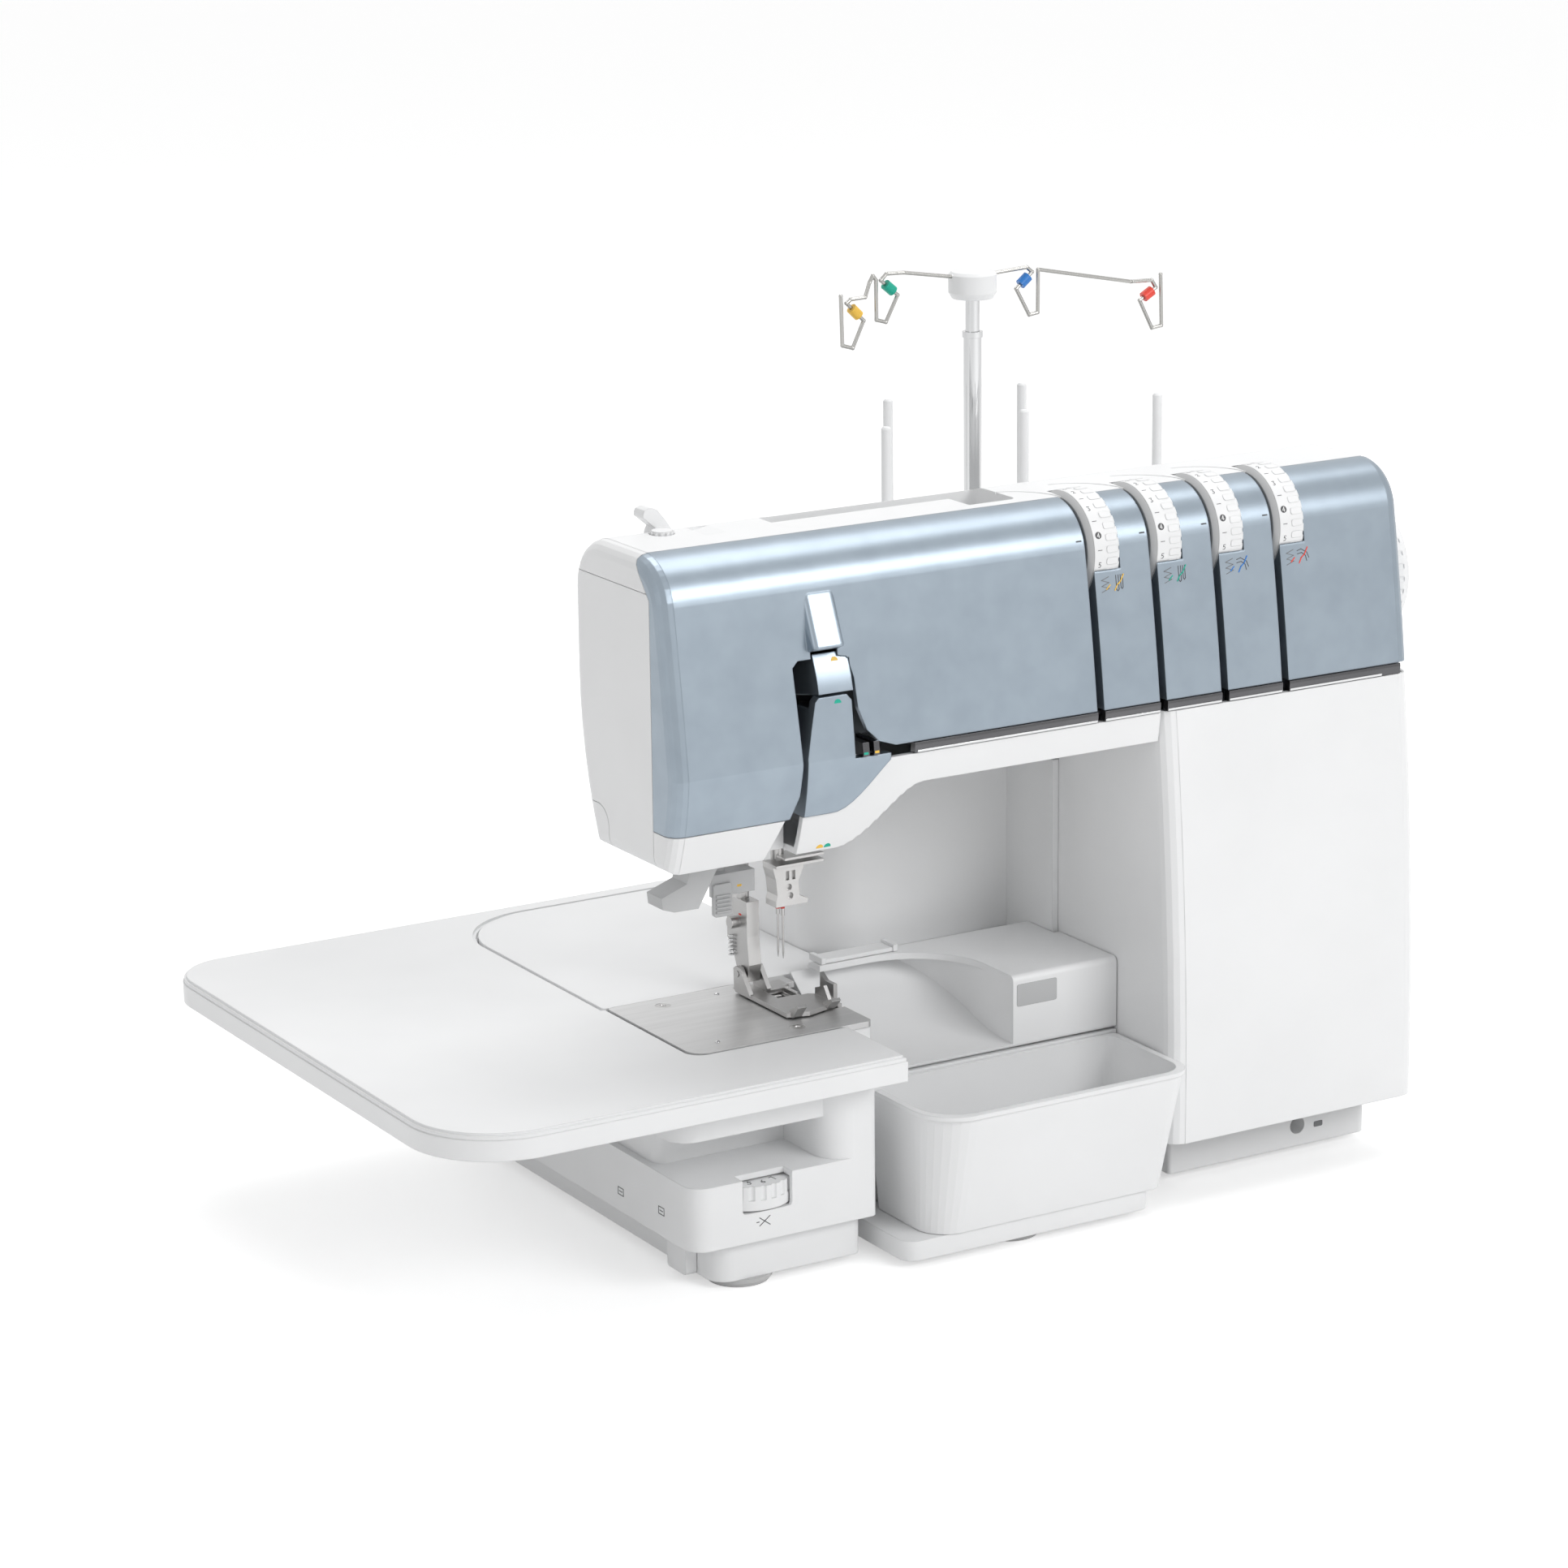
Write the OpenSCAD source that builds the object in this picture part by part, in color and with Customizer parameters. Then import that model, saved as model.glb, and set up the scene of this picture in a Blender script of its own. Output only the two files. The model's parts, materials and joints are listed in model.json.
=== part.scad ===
// Four thread serger with slide-off table, hinged looper cover and telescopic thread stand.
// Machine frame while modelling: X to the right, Y to the back, Z up, zero at the front left foot of the base.
// place() moves every sub-part so that the origin lies under the middle of the whole machine.

/* [Arm] */
// Left face of the sewing head
arm_left = -64; // [-80:1:-58]
// Right face of the arm and the tower
arm_right = 358; // [345:1:370]
// Height of the flat top
arm_top = 354.5; // [350:0.5:360]
// Rear face of the arm
arm_rear = 89; // [86:0.5:92]
// Radius of the long front curve
front_r = 1670; // [1500:10:2000]
// Front face at the height where the curve is upright
front_y = -19.1; // [-24:0.1:-15]
// Height where the front curve is upright
front_z = 52; // [40:1:60]
// Radius of the front top edge
crown_front_r = 26; // [22:0.5:28]
// Radius of the rear top edge
crown_rear_r = 25; // [20:0.5:30]
// Radius of the rounding at the head's left end
end_r = 7; // [5:0.5:8]
// Lowest level of the sewing head
head_bottom = 207; // [203:0.5:210]
// Bottom edge of the coloured covers right of the head
cover_bottom = 255.5; // [252:0.5:258]
// Bottom edge of the coloured cover on the head
chin_top = 226.5; // [222:0.5:230]
// Wall of the moulded covers
cover_wall = 3; // [2.4:0.1:3.5]
// Gap between neighbouring covers
seam = 0.3; // [0.2:0.05:0.5]

/* [Tension units] */
// Right end of the wide front cover
main_cover_right = 168.6; // [165:0.1:175]
// Distance from one thread slot to the next
slot_pitch = 36.6; // [34:0.1:38]
// Width of a thread slot
slot_w = 4.2; // [3:0.1:5]
// Depth of a thread slot
slot_depth = 14; // [12:0.5:16]
// Radius of a tension dial
dial_r = 27.6; // [27:0.1:28]
// Width of a tension dial
dial_w = 14.2; // [12:0.2:15]
// Radius of the tension dial shaft
dial_shaft_r = 4; // [3:0.5:5]
// Turn of a tension dial each way, in degrees
dial_turn = 150; // [90:5:170]

/* [Take-up channel] */
// Left edge of the thread channel
channel_left = 2; // [-2:0.5:4]
// Right edge of the thread channel
channel_right = 34.5; // [32:0.5:38]
// Top edge of the thread channel
channel_top = 301; // [298:0.5:305]
// Width of the hood over the take-up lever
hood_w = 20; // [17:0.5:22]
// Height of the hood
hood_h = 31; // [24:1:34]
// Width of the take-up lever
lever_w = 18.5; // [14:0.5:20]
// Take-up lever swing in degrees
lever_swing = 18; // [8:1:20]

/* [Tower and rear casing] */
// Left face of the tower
tower_left = 206.4; // [200:0.2:212]
// Underside of the tower front casing
tower_bottom = 31; // [28:0.5:36]
// Plane where front and rear casings meet
tower_seam = 82; // [78:0.5:86]
// Left end of the rear casing
rear_left = 92; // [86:1:100]
// Front of the rear casing inside the throat
throat_y = 124; // [118:1:130]
// Back of the rear casing
rear_back = 215; // [205:1:225]
// Top of the rear casing, under the spool platform
rear_top = 283; // [278:1:286]

/* [Base] */
// Height of the work surface
bed_top = 110; // [106:0.5:114]
// Thickness of the slide-off table and the bed cover
table_t = 13; // [11:0.5:15]
// Left edge of the table
table_left = -193; // [-220:1:-150]
// Front edge of the table
table_front = -28; // [-36:0.5:-22]
// Rear edge of the table
table_back = 293; // [286:1:300]
// Right end of the table's front strip
table_right = 47; // [44:0.5:50]
// Level of the ledge on the base
ledge_top = 56; // [50:0.5:62]
// Underside of the free arm
free_arm_bottom = 77; // [72:0.5:82]
// Left face of the base
base_left = -59; // [-66:0.5:-54]
// Right face of the base column in front
base_right = 43; // [40:0.5:46]
// Front face of the base
base_front = -7; // [-10:0.5:-4]
// Back face of the base
base_back = 262; // [250:1:275]
// Top of the chassis pan
pan_top = 24; // [20:0.5:28]
// Ground clearance of the chassis pan
pan_bottom = 4; // [3:0.5:6]
// Diameter of a rubber foot
foot_d = 33; // [26:0.5:38]

/* [Waste tray] */
// Left side of the tray at its rim
tray_left = 57; // [54:0.5:60]
// Right side of the tray at its rim
tray_right = 203; // [195:0.5:205]
// Front of the tray at its rim
tray_front = -39.5; // [-45:0.5:-34]
// Back of the tray at its rim
tray_back = 28; // [24:0.5:28.5]
// Height of the tray rim
tray_rim = 78; // [72:0.5:79]
// Height of the tray's underside
tray_floor = 14.3; // [14.3:0.1:16]
// Wall of the tray
tray_wall = 2.2; // [1.8:0.1:3]

/* [Needle area] */
// Needle bar axis across the machine
needle_x = 40.3; // [38:0.1:42]
// Needle bar axis along the feed
needle_y = 80; // [78:0.1:82]
// Point of the left needle at the top of its stroke
needle_tip = 131.5; // [128:0.5:136]
// Needle bar stroke
needle_stroke = 25; // [22:0.5:27]
// Diameter of the needle bar
needle_bar_d = 6.4; // [6:0.1:7.2]
// Diameter of the presser bar
presser_bar_d = 6; // [5.6:0.1:7]
// Presser foot lift
presser_lift = 7; // [5:0.5:8]
// Needle plate thickness
plate_t = 3; // [2.4:0.1:3.6]
// Radial play of shafts in their bearings
shaft_play = 0.06; // [0.02:0.01:0.1]

/* [Thread stand] */
// Mast axis across the machine
mast_x = 205.7; // [200:0.1:212]
// Mast axis along the machine
mast_y = 160; // [155:0.5:165]
// Outer diameter of the mast tube
mast_tube_d = 9.2; // [8.5:0.1:11]
// Outer diameter of the mast rod
mast_rod_d = 7.2; // [6.4:0.1:7.6]
// Top of the mast tube
mast_tube_top = 413; // [400:1:420]
// Rise of the guide hub above the mast tube
hub_rise = 17; // [14:0.5:24]
// Height of the guide hub
hub_h = 13.5; // [11:0.5:16]
// Wire diameter of the thread guides
wire_d = 2; // [1.6:0.1:2.6]
// Top of the spool pins
pin_top = 380; // [370:1:395]
// Diameter of a spool pin
pin_d = 5; // [4.5:0.1:6]
// Distance between spool pins in a row
pin_pitch = 81; // [76:0.5:84]
// Distance between the rows of spool pins
pin_rows = 63; // [58:0.5:66]
// Thickness of the spool platform
platform_t = 7; // [5:0.5:9]

/* [Controls] */
// Radius of the handwheel
handwheel_r = 38; // [32:0.5:42]
// Width of the handwheel
handwheel_w = 20; // [16:0.5:22]
// Diameter of the main shaft
shaft_d = 10; // [8:0.5:12]
// Diameter of the side dials
side_dial_d = 30; // [26:0.5:34]
// Radius of the cutting width dial
width_dial_r = 22; // [20:0.5:23]

/* [Hidden] */
$fn = 48;
e = 0.01;
far = 600;
white = "#f0f0f1";
blue = "#a9b3bf";
steel = "#b9babb";
grey = "#8c8f93";
dark = "#3c4046";

// Centre of the long front curve, and the centres of the two top edges.
front_c = [front_y + front_r, front_z];
crown_front_c = [front_c[0] - sqrt(pow(front_r - crown_front_r, 2)
    - pow(arm_top - crown_front_r - front_z, 2)),
    arm_top - crown_front_r];
crown_rear_c = [arm_rear - crown_rear_r, arm_top - crown_rear_r];
// The chin and the rear of the arm turn in below these two circles.
chin_c = [136.1, head_bottom + 56.6];
chin_r = 143.3;
tail_r = 213;
tail_z = 290;
// Front covers end here on the top, and the rear cover starts at this height on the back.
crown_seam = 28.5;
rear_seam = 300;
side_seam = 15;
cap_seam = 338;
frame_inset = slot_depth + seam;
// Handle recess in the top cover.
recess_x = [24, 150];
recess_y = [36, 74];
recess_floor = 322;
// Main shaft.
shaft_y = 58;
shaft_z = 290;
// Overall box and the shift to the middle of the machine.
wheel_right = arm_right + handwheel_w + 0.5;
mid_x = (table_left + wheel_right) / 2;
mid_y = (tray_front + table_back) / 2;

module place() translate([-mid_x, -mid_y, 0]) children();
// Extrusions along each axis between two positions. Along X the sketch is (Y, Z), along Y it is (X, Z).
module along_x(a, b) translate([a, 0, 0]) rotate([90, 0, 90]) linear_extrude(b - a) children();
module along_y(a, b) translate([0, b, 0]) rotate([90, 0, 0]) linear_extrude(b - a) children();
module along_z(a, b) translate([0, 0, a]) linear_extrude(b - a) children();
module block(x, y, z) translate([x[0], y[0], z[0]]) cube([x[1] - x[0], y[1] - y[0], z[1] - z[0]]);
module rod_x(x, y, z, d) translate([x[0], y, z]) rotate([0, 90, 0]) cylinder(d = d, h = x[1] - x[0]);
module rod_z(x, y, z, d) translate([x, y, z[0]]) cylinder(d = d, h = z[1] - z[0]);
// A rectangle with a radius of its own at each corner: front left, front right, back right, back left.
module pad(x, y, r) {
    hull() {
        translate([x[0] + r[0], y[0] + r[0]]) circle(r = r[0]);
        translate([x[1] - r[1], y[0] + r[1]]) circle(r = r[1]);
        translate([x[1] - r[2], y[1] - r[2]]) circle(r = r[2]);
        translate([x[0] + r[3], y[1] - r[3]]) circle(r = r[3]);
    }
}
// The same rectangle with true arcs, made from squares and circles.
module arc_corner(c, r, dir) difference() {
    translate(c + [dir[0] < 0 ? -r - 1 : 0, dir[1] < 0 ? -r - 1 : 0]) square(r + 1);
    translate(c) circle(r = r);
}
module arc_pad(x, y, r) difference() {
    translate([x[0], y[0]]) square([x[1] - x[0], y[1] - y[0]]);
    arc_corner([x[0] + r[0], y[0] + r[0]], r[0], [-1, -1]);
    arc_corner([x[1] - r[1], y[0] + r[1]], r[1], [1, -1]);
    arc_corner([x[1] - r[2], y[1] - r[2]], r[2], [1, 1]);
    arc_corner([x[0] + r[3], y[1] - r[3]], r[3], [-1, 1]);
}

// Cross-section of the arm, moved inwards by d, as a (Y, Z) sketch.
module crown_cut(c, r, d, toward) difference() {
    polygon([c, c + 3 * r * toward, c + 3 * r * (toward + [0, 1]), c + [0, 3 * r]]);
    translate(c) circle(r = r - d);
}
module arm_profile(d, rough = false) {
    to_front = (crown_front_c - front_c) / norm(crown_front_c - front_c);
    difference() {
        intersection() {
            translate(front_c) circle(r = front_r - d, $fn = rough ? 280 : 720);
            translate([front_y - 20, head_bottom + d]) square([arm_rear - d - front_y + 20,
                arm_top - head_bottom - 2 * d]);
            union() {
                translate(chin_c) circle(r = chin_r - d, $fn = rough ? 96 : 180);
                translate([front_y - 20, chin_c[1] - 5]) square([200, 200]);
            }
            union() {
                translate([arm_rear - tail_r, tail_z]) circle(r = tail_r - d, $fn = rough ? 96 : 180);
                translate([front_y - 20, tail_z]) square([200, 200]);
            }
        }
        crown_cut(crown_front_c, crown_front_r, d, to_front);
        crown_cut(crown_rear_c, crown_rear_r, d, [1, 0]);
    }
}
module ring(inner, outer = 0) difference() {
    arm_profile(outer);
    arm_profile(inner);
}
// Rounded end of the arm, one convex hull of thin slices of the profile. Its sections lie a hair inside
// those of the straight covers and reach into them, so that the two are never flush.
cap_inset = 0.06;
cap_reach = 0.2;
cap_steps = 4;
module arm_end(x, side, d) {
    r = end_r - d;
    hull() for (k = [0:cap_steps]) {
        a = 90 * k / cap_steps;
        px = x + side * (end_r - r * sin(a) + (k == 0 ? cap_reach : 0));
        along_x(side < 0 ? px - e : px, side < 0 ? px : px + e)
            arm_profile(d + cap_inset + r * (1 - cos(a)), true);
    }
}
// Regions of the (Y, Z) sketch that the covers share out.
module front_zone(low) translate([-60, low]) square([60 + crown_seam, far]);
module top_zone() translate([crown_seam + seam, rear_seam]) square([200, 200]);
module box_zone(y, z) translate([y[0], z[0]]) square([y[1] - y[0], z[1] - z[0]]);

// Lower edge of the head and the arm, from the chin to the throat, and the top of the white lip.
function blend(t) = t < 0 ? 0 : t > 1 ? 1 : t * t * (3 - 2 * t);
function lip_low(x) = head_bottom + 38 * blend((x - 28) / 44);
function lip_top(x) = chin_top + (cover_bottom - chin_top) * blend((x - 22) / 42);
lip_xs = [for (k = [0:14]) 20 + 4 * k];
trim_h = 5.4;
lip_cap = cover_bottom - trim_h - seam;
// Everything below the underside of the arm, raised by t: low at the chin, higher over the throat.
module under_block(t) {
    xs = concat([-80], lip_xs, [tower_left + 1]);
    ys = [front_y - 20, arm_rear + 5];
    function under_z(x, y) = t + lip_low(x) + (head_bottom - lip_low(x)) * min(1, max(0, (y + 7) / 89));
    n = len(xs);
    top = [for (x = xs) for (y = ys) [x, y, under_z(x, y)]];
    base = [for (x = xs) for (y = ys) [x, y, head_bottom - 30]];
    polyhedron(points = concat(top, base), faces = concat(
        [for (i = [0:n - 2]) each [[2 * i, 2 * i + 1, 2 * i + 2], [2 * i + 1, 2 * i + 3, 2 * i + 2]]],
        [for (i = [0:n - 2]) each [[2 * (n + i), 2 * (n + i) + 2, 2 * (n + i) + 1],
            [2 * (n + i) + 1, 2 * (n + i) + 2, 2 * (n + i) + 3]]],
        [for (i = [0:n - 2]) each [[2 * i, 2 * i + 2, 2 * (n + i)],
            [2 * i + 2, 2 * (n + i) + 2, 2 * (n + i)]]],
        [for (i = [0:n - 2]) each [[2 * i + 1, 2 * (n + i) + 1, 2 * i + 3],
            [2 * i + 3, 2 * (n + i) + 1, 2 * (n + i) + 3]]],
        [[0, 2 * n, 1], [1, 2 * n, 2 * n + 1]],
        [[2 * n - 2, 2 * n - 1, 4 * n - 2], [2 * n - 1, 4 * n - 1, 4 * n - 2]]));
}

// ---- base ----
feet_at = [[-23, 14], [119, -4], [330, 34], [-20, 236], [325, 190]];
plinth_x = [48, 191];
plinth_front = -24.5;
pan_x = [-43, 350];
pan_back = 250;
module base_pan() color(white) place() difference() {
    union() {
        along_z(pan_bottom, pan_top) {
            arc_pad([pan_x[0], 38], [0, 60], [10, 5, 1, 1]);
            arc_pad([pan_x[0], 92], [34, pan_back], [1, 1, 8, 24]);
            arc_pad([90, pan_x[1]], [34, rear_back - 5], [1, 6, 16, 1]);
        }
        along_z(pan_bottom, tray_floor - seam) arc_pad(plinth_x, [plinth_front, 40], [8, 8, 1, 1]);
        along_z(pan_bottom, pan_top) arc_pad([tower_left + 19, pan_x[1]], [10, 60], [2, 6, 1, 1]);
    }
    for (p = feet_at) translate([p[0], p[1], 0]) cylinder(d = foot_d - 8, h = pan_bottom + 2);
    rod_hole_y = 10;
    translate([tower_left + 99, rod_hole_y - 1, 15]) rotate([-90, 0, 0]) cylinder(d = 9, h = 14);
}
module rubber_feet() color(dark) place() for (p = feet_at) translate([p[0], p[1], 0]) union() {
    cylinder(d1 = foot_d - 3, d2 = foot_d, h = 2);
    translate([0, 0, 2]) cylinder(d = foot_d, h = pan_bottom - 2);
    translate([0, 0, pan_bottom - 1]) cylinder(d = foot_d - 8.4, h = 2.7);
}
module side_clip() color(white) place() along_x(pan_x[0] - 6.3, pan_x[0] - seam)
    arc_pad([18, 36], [pan_bottom, 20], [2, 2, 3, 3]);

// The rear half of the throat's right wall stands proud of the tower by this step.
wall_step = 3.4;
step_left = tower_left - wall_step;
column_left = 15;
free_arm_left = -63;
well_x = [52, 200];
well_floor = 36;
well_y = [38, 111];
module base_casing() color(white) place() difference() {
    union() {
        along_z(pan_top + seam, ledge_top) arc_pad([base_left, base_right], [base_front, base_back],
            [10, 4, 2, 24]);
        along_z(ledge_top, bed_top - table_t - seam) {
            arc_pad([column_left, base_right], [base_front, 60], [14, 4, 1, 1]);
            arc_pad([base_left + 4, base_right], [34, base_back], [6, 1, 2, 24]);
        }
        along_z(free_arm_bottom, bed_top - table_t - seam)
            arc_pad([free_arm_left, base_right], [0, 60], [12, 1, 1, 6]);
        along_z(pan_top + seam, tray_rim - 3) {
            translate([base_right - 1, 33 + seam]) square([rear_left - seam - base_right + 1,
                base_back - 33 - seam]);
            translate([rear_left - seam - 1, 33 + seam]) square([tower_left - 0.6 - rear_left + seam + 1,
                throat_y - 33 - 2 * seam]);
        }
        along_z(bed_top - table_t - seam - 1, bed_top - plate_t)
            arc_pad([plate_x[0] + 1, plate_x[1] - 1], [plate_y[0] + 1, plate_y[1]], [8, 2, 2, 2]);
        // Rear bridge that carries the bed cover behind the looper well.
        along_z(tray_rim - 4, bed_top - table_t - seam) {
            translate([base_right - 1, well_y[1]]) square([rear_left - seam - base_right + 1,
                base_back - well_y[1]]);
            translate([rear_left - seam - 1, well_y[1]]) square([tower_left - 0.6 - rear_left + seam + 1,
                throat_y - well_y[1] - seam]);
        }
        along_z(cover_z[0] - 0.7, bed_top - plate_t) translate([base_right - 1, plate_y[0] + 1])
            square([plate_x[1] - base_right, plate_y[1] - plate_y[0] - 1]);
    }
    difference() {
        union() {
            block(well_x, well_y, [well_floor, bed_top + 1]);
            // Room under the needle plate for the feed teeth, the needles and the loopers.
            block([28, well_x[0] + 1], [44, 109.5], [88, bed_top + 1]);
            block([36, plate_x[1] + 1], [60, 100], [58, bed_top + 1]);
        }
        translate([looper_axis[0], well_y[0] - 1, looper_axis[1]]) rotate([-90, 0, 0])
            cylinder(r = looper_pin_r, h = well_y[1] - well_y[0] + 2);
        // Knife bracket beside the looper shaft.
        block([61.4, 76], [well_y[0] - 1, 66], [well_floor - 1, 86]);
    }
    block([step_left - seam, tower_left], [tower_seam - seam, far], [0, bed_top]);
    // Seat of the cutting width dial in the front wall, with its brow.
    translate([width_dial_x, width_dial_y, 39]) cylinder(r = width_dial_r + 0.5, h = 14);
    along_y(base_front - 1, base_front + 8) arc_pad([width_dial_x - 13.5, width_dial_x + 13.5],
        [39, ledge_top + 1],
        [2, 2, 1, 1]);
    translate([width_dial_x, width_dial_y, 30]) cylinder(r = 4 + shaft_play, h = 12);
}
width_dial_x = -18.5;
width_dial_y = 13.5;
module width_dial() color(white) place() translate([width_dial_x, width_dial_y, 40]) difference() {
    union() {
        cylinder(r = width_dial_r, h = 12);
        translate([0, 0, -9]) cylinder(r = 4, h = 9.5);
    }
    for (a = [0:15:345]) rotate([0, 0, a + 7.5]) translate([width_dial_r + 0.6, 0, 5])
        cylinder(r = 1.6, h = 8, $fn = 16);
}
module front_panel() color(white) place() {
    block([base_right + seam, tower_left - 0.6], [29, 33], [pan_top + seam, tray_rim + 1.2]);
}
plate_x = [-38, 61];
plate_y = [26, 112];
bed_x = [-40, 91.7];
bed_back = 280;
module bed_cover() color(white) place() difference() {
    union() {
        along_z(bed_top - table_t, bed_top) {
            arc_pad([bed_x[0], bed_x[1]], [plate_y[1] + seam, bed_back], [2, 1, 1, 46]);
            translate([bed_x[1] - 2, plate_y[1] + seam]) square([step_left - seam - bed_x[1] + 2,
                throat_y - plate_y[1] - 2 * seam]);
        }
    }
    block([bed_x[0] + 4, bed_x[1] - 4], [base_back + 3, bed_back - 4], [bed_top - table_t - 1, bed_top - 4]);
}
module table_plan(d) difference() {
    arc_pad([table_left + d, 98 - d], [table_front + d, table_back - d], [45 - d, 6 - d, 4, 30 - d]);
    // Free arm, needle plate and bed stand in the opening, which is open to the right.
    arc_pad([plate_x[0] - seam - d, 200], [plate_y[0] - seam - d, plate_y[1] + 10], [9, 1, 1, 1]);
    arc_pad([bed_x[0] - seam - d, 200], [plate_y[1] - d, bed_back + seam + d], [1, 1, 1, 46]);
    translate([table_right - d, table_front - 1]) square([200, 100]);
}
module slide_table() color(white) place() difference() {
    union() {
        along_z(bed_top - table_t, bed_top - 3) table_plan(0);
        along_z(bed_top - 3 - e, bed_top - 1.2) table_plan(0.6);
        along_z(bed_top - 1.2 - e, bed_top) table_plan(1.8);
    }
    // Hollow underside with stiffening ribs, left of the base.
    for (i = [0:3]) block([table_left + 12 + 33 * i, table_left + 42 + 33 * i], [30, 245],
        [bed_top - table_t - 1, bed_top - 3.5]);
    for (i = [0:1]) block([table_left + 50 + 44 * i, table_left + 91 + 44 * i], [table_front + 12, 27],
        [bed_top - table_t - 1, bed_top - 3.5]);
    block([base_left - 10, 88], [base_back + 4, table_back - 6], [bed_top - table_t - 1, bed_top - 3.5]);
}
module tray_shell(d, low) hull() {
    along_z(tray_rim - 4, tray_rim + (d > 0 ? 5 : 0)) pad([tray_left + d, tray_right - d],
        [tray_front + d, tray_back - d], [22, 12, 5, 5]);
    along_z(tray_floor + low, tray_floor + low + 1) pad([tray_left + 5 + d, tray_right - 5 - d],
        [tray_front + 13 + d, tray_back - 1 - d], [16, 10, 5, 5]);
}
module waste_tray() color(white) place() difference() {
    union() {
        tray_shell(0, 0, $fn = 32);
        along_z(tray_rim - 2.4, tray_rim) arc_pad([tray_left - 1.4, tray_right + 1.4],
            [tray_front - 1.4, tray_back],
            [23, 13, 3, 3]);
    }
    tray_shell(tray_wall, tray_wall, $fn = 32);
    translate([tray_left - 2, tray_back - 12, tray_rim - 2.4]) cube([5, 8, 5]);
}
needle_slot = [[37, 62], [75, 84]];
module needle_plate() color(steel) place() difference() {
    along_z(bed_top - plate_t, bed_top) arc_pad(plate_x, plate_y, [9, 3, 2, 2]);
    block(needle_slot[0], needle_slot[1], [bed_top - plate_t - 1, bed_top + 1]);
    for (x = feed_x) block([x - 1.9, x + 1.9], [50, 107], [bed_top - plate_t - 1, bed_top + 1]);
    block([54, 62], [52, 100], [bed_top - plate_t - 1, bed_top + 1]);
    for (p = [[-12.6, 101.5], [25.7, 37.6]]) translate([p[0], p[1], bed_top - plate_t - 1]) {
        cylinder(d = 4.2, h = plate_t + 2);
        translate([0, 0, plate_t - 0.6]) cylinder(d1 = 4.2, d2 = 8.2, h = 1.7);
    }
    for (p = [[18.5, 103], [-18.6, 38]]) translate([p[0], p[1], bed_top - plate_t - 1])
        cylinder(d = 2.6, h = plate_t + 2);
}
feed_x = [32, 46.5];
module feed_dogs() color(steel) place() for (x = feed_x) difference() {
    block([x - 1.5, x + 1.5], [54, 102], [bed_top - 12, bed_top + 0.2]);
    for (i = [0:19]) translate([x - 2, 55 + 2.4 * i, bed_top + 0.9]) rotate([45, 0, 0]) cube([4, 1.4, 1.4]);
    block([x - 2, x + 2], [60, 96], [bed_top - 13, bed_top - 6]);
}

// ---- looper cover: block at the right, arch to the left and a scooped chute down to the tray ----
cover_x = [63.5, tower_left - 0.6];
cover_y = [29, 108];
cover_z = [tray_rim + 2.2, 117];
cover_wall_t = 2.6;
lip_t = 3.4;
lip_under = cover_z[1] - lip_t;
scoop_r = 110;
scoop_floor = cover_z[0] + 2;
scoop_c = [32, scoop_floor + scoop_r];
arch_right = 144;
arch_back = 96;
arch_left = 73.5;
hinge_y = 32;
hinge_z = 84;
// What is scooped out: a slope that rises to the bed, wider below the rim of the arch than in it.
module chute(d) intersection() {
    union() {
        rod_x([40, 190], scoop_c[0], scoop_c[1], 2 * (scoop_r + d));
        block([40, 190], [0, scoop_c[0]], [scoop_floor - d, 200]);
    }
    union() {
        along_z(70, lip_under - (d > 0 ? 0.4 : 0)) arc_pad([40, arch_right + d], [0, cover_y[1] + 3],
            [1, 1, 42, 1]);
        along_z(70, d > 0 ? cover_z[1] - cover_wall_t : 200)
            arc_pad([40, arch_right + d], [0, arch_back + d], [1, 1, 42, 1]);
    }
}
module looper_cover() color(white) place() difference() {
    along_x(cover_x[0], cover_x[1]) arc_pad(cover_y, cover_z, [2, 4, 5, 3]);
    chute(0);
    // Hollow behind the wall.
    difference() {
        block([cover_x[0] + cover_wall_t, cover_x[1] - cover_wall_t], [cover_y[0] + cover_wall_t,
            cover_y[1] - cover_wall_t], [0, lip_under]);
        chute(cover_wall_t);
    }
    // Open left end for the knives and the loopers, and the end of the arch above it.
    block([40, cover_x[0] + 3.5], [64, 97], [60, 140]);
    block([40, arch_left], [0, 200], [lip_under, 200]);
    block([step_left - seam - 0.1, tower_left], [tower_seam - 2, 200], [0, 200]);
}
slider_lift = 0.3;
module cover_slider() color(white) place() union() {
    along_z(cover_z[1] + slider_lift, cover_z[1] + 2.4) arc_pad([arch_left + 1, 119], [96.5, 107],
        [1, 1, 1, 1]);
    for (x = [arch_left + 1, 116.5]) block([x, x + 2.5], [95.8, 107.6],
        [cover_z[1] + slider_lift, cover_z[1] + 3.6]);
}
looper_axis = [62, 50];
looper_t = 2.4;
// Lean to the left of the upper looper while the needles are up.
looper_lean = 9;
looper_hub_r = 7;
looper_pin_r = 3;
module looper_hub(y) translate([looper_axis[0], y, looper_axis[1]]) rotate([-90, 0, 0])
    cylinder(r = looper_hub_r, h = 5);
module looper_bore(y) translate([looper_axis[0], y, looper_axis[1]]) rotate([-90, 0, 0])
    cylinder(r = looper_pin_r + shaft_play, h = 7);
module upper_looper() color(steel) place() difference() {
    union() {
        looper_hub(83);
        along_y(84, 84 + looper_t) translate(looper_axis) rotate(looper_lean) difference() {
            polygon([[-5, 0], [5, 0], [-0.5, 30], [-2, 49], [-6, 52.5], [-11, 53], [-12, 52], [-7, 48],
                [-5, 30]]);
            translate([-3.6, 44]) circle(r = 0.8);
        }
    }
    looper_bore(82);
}
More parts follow.
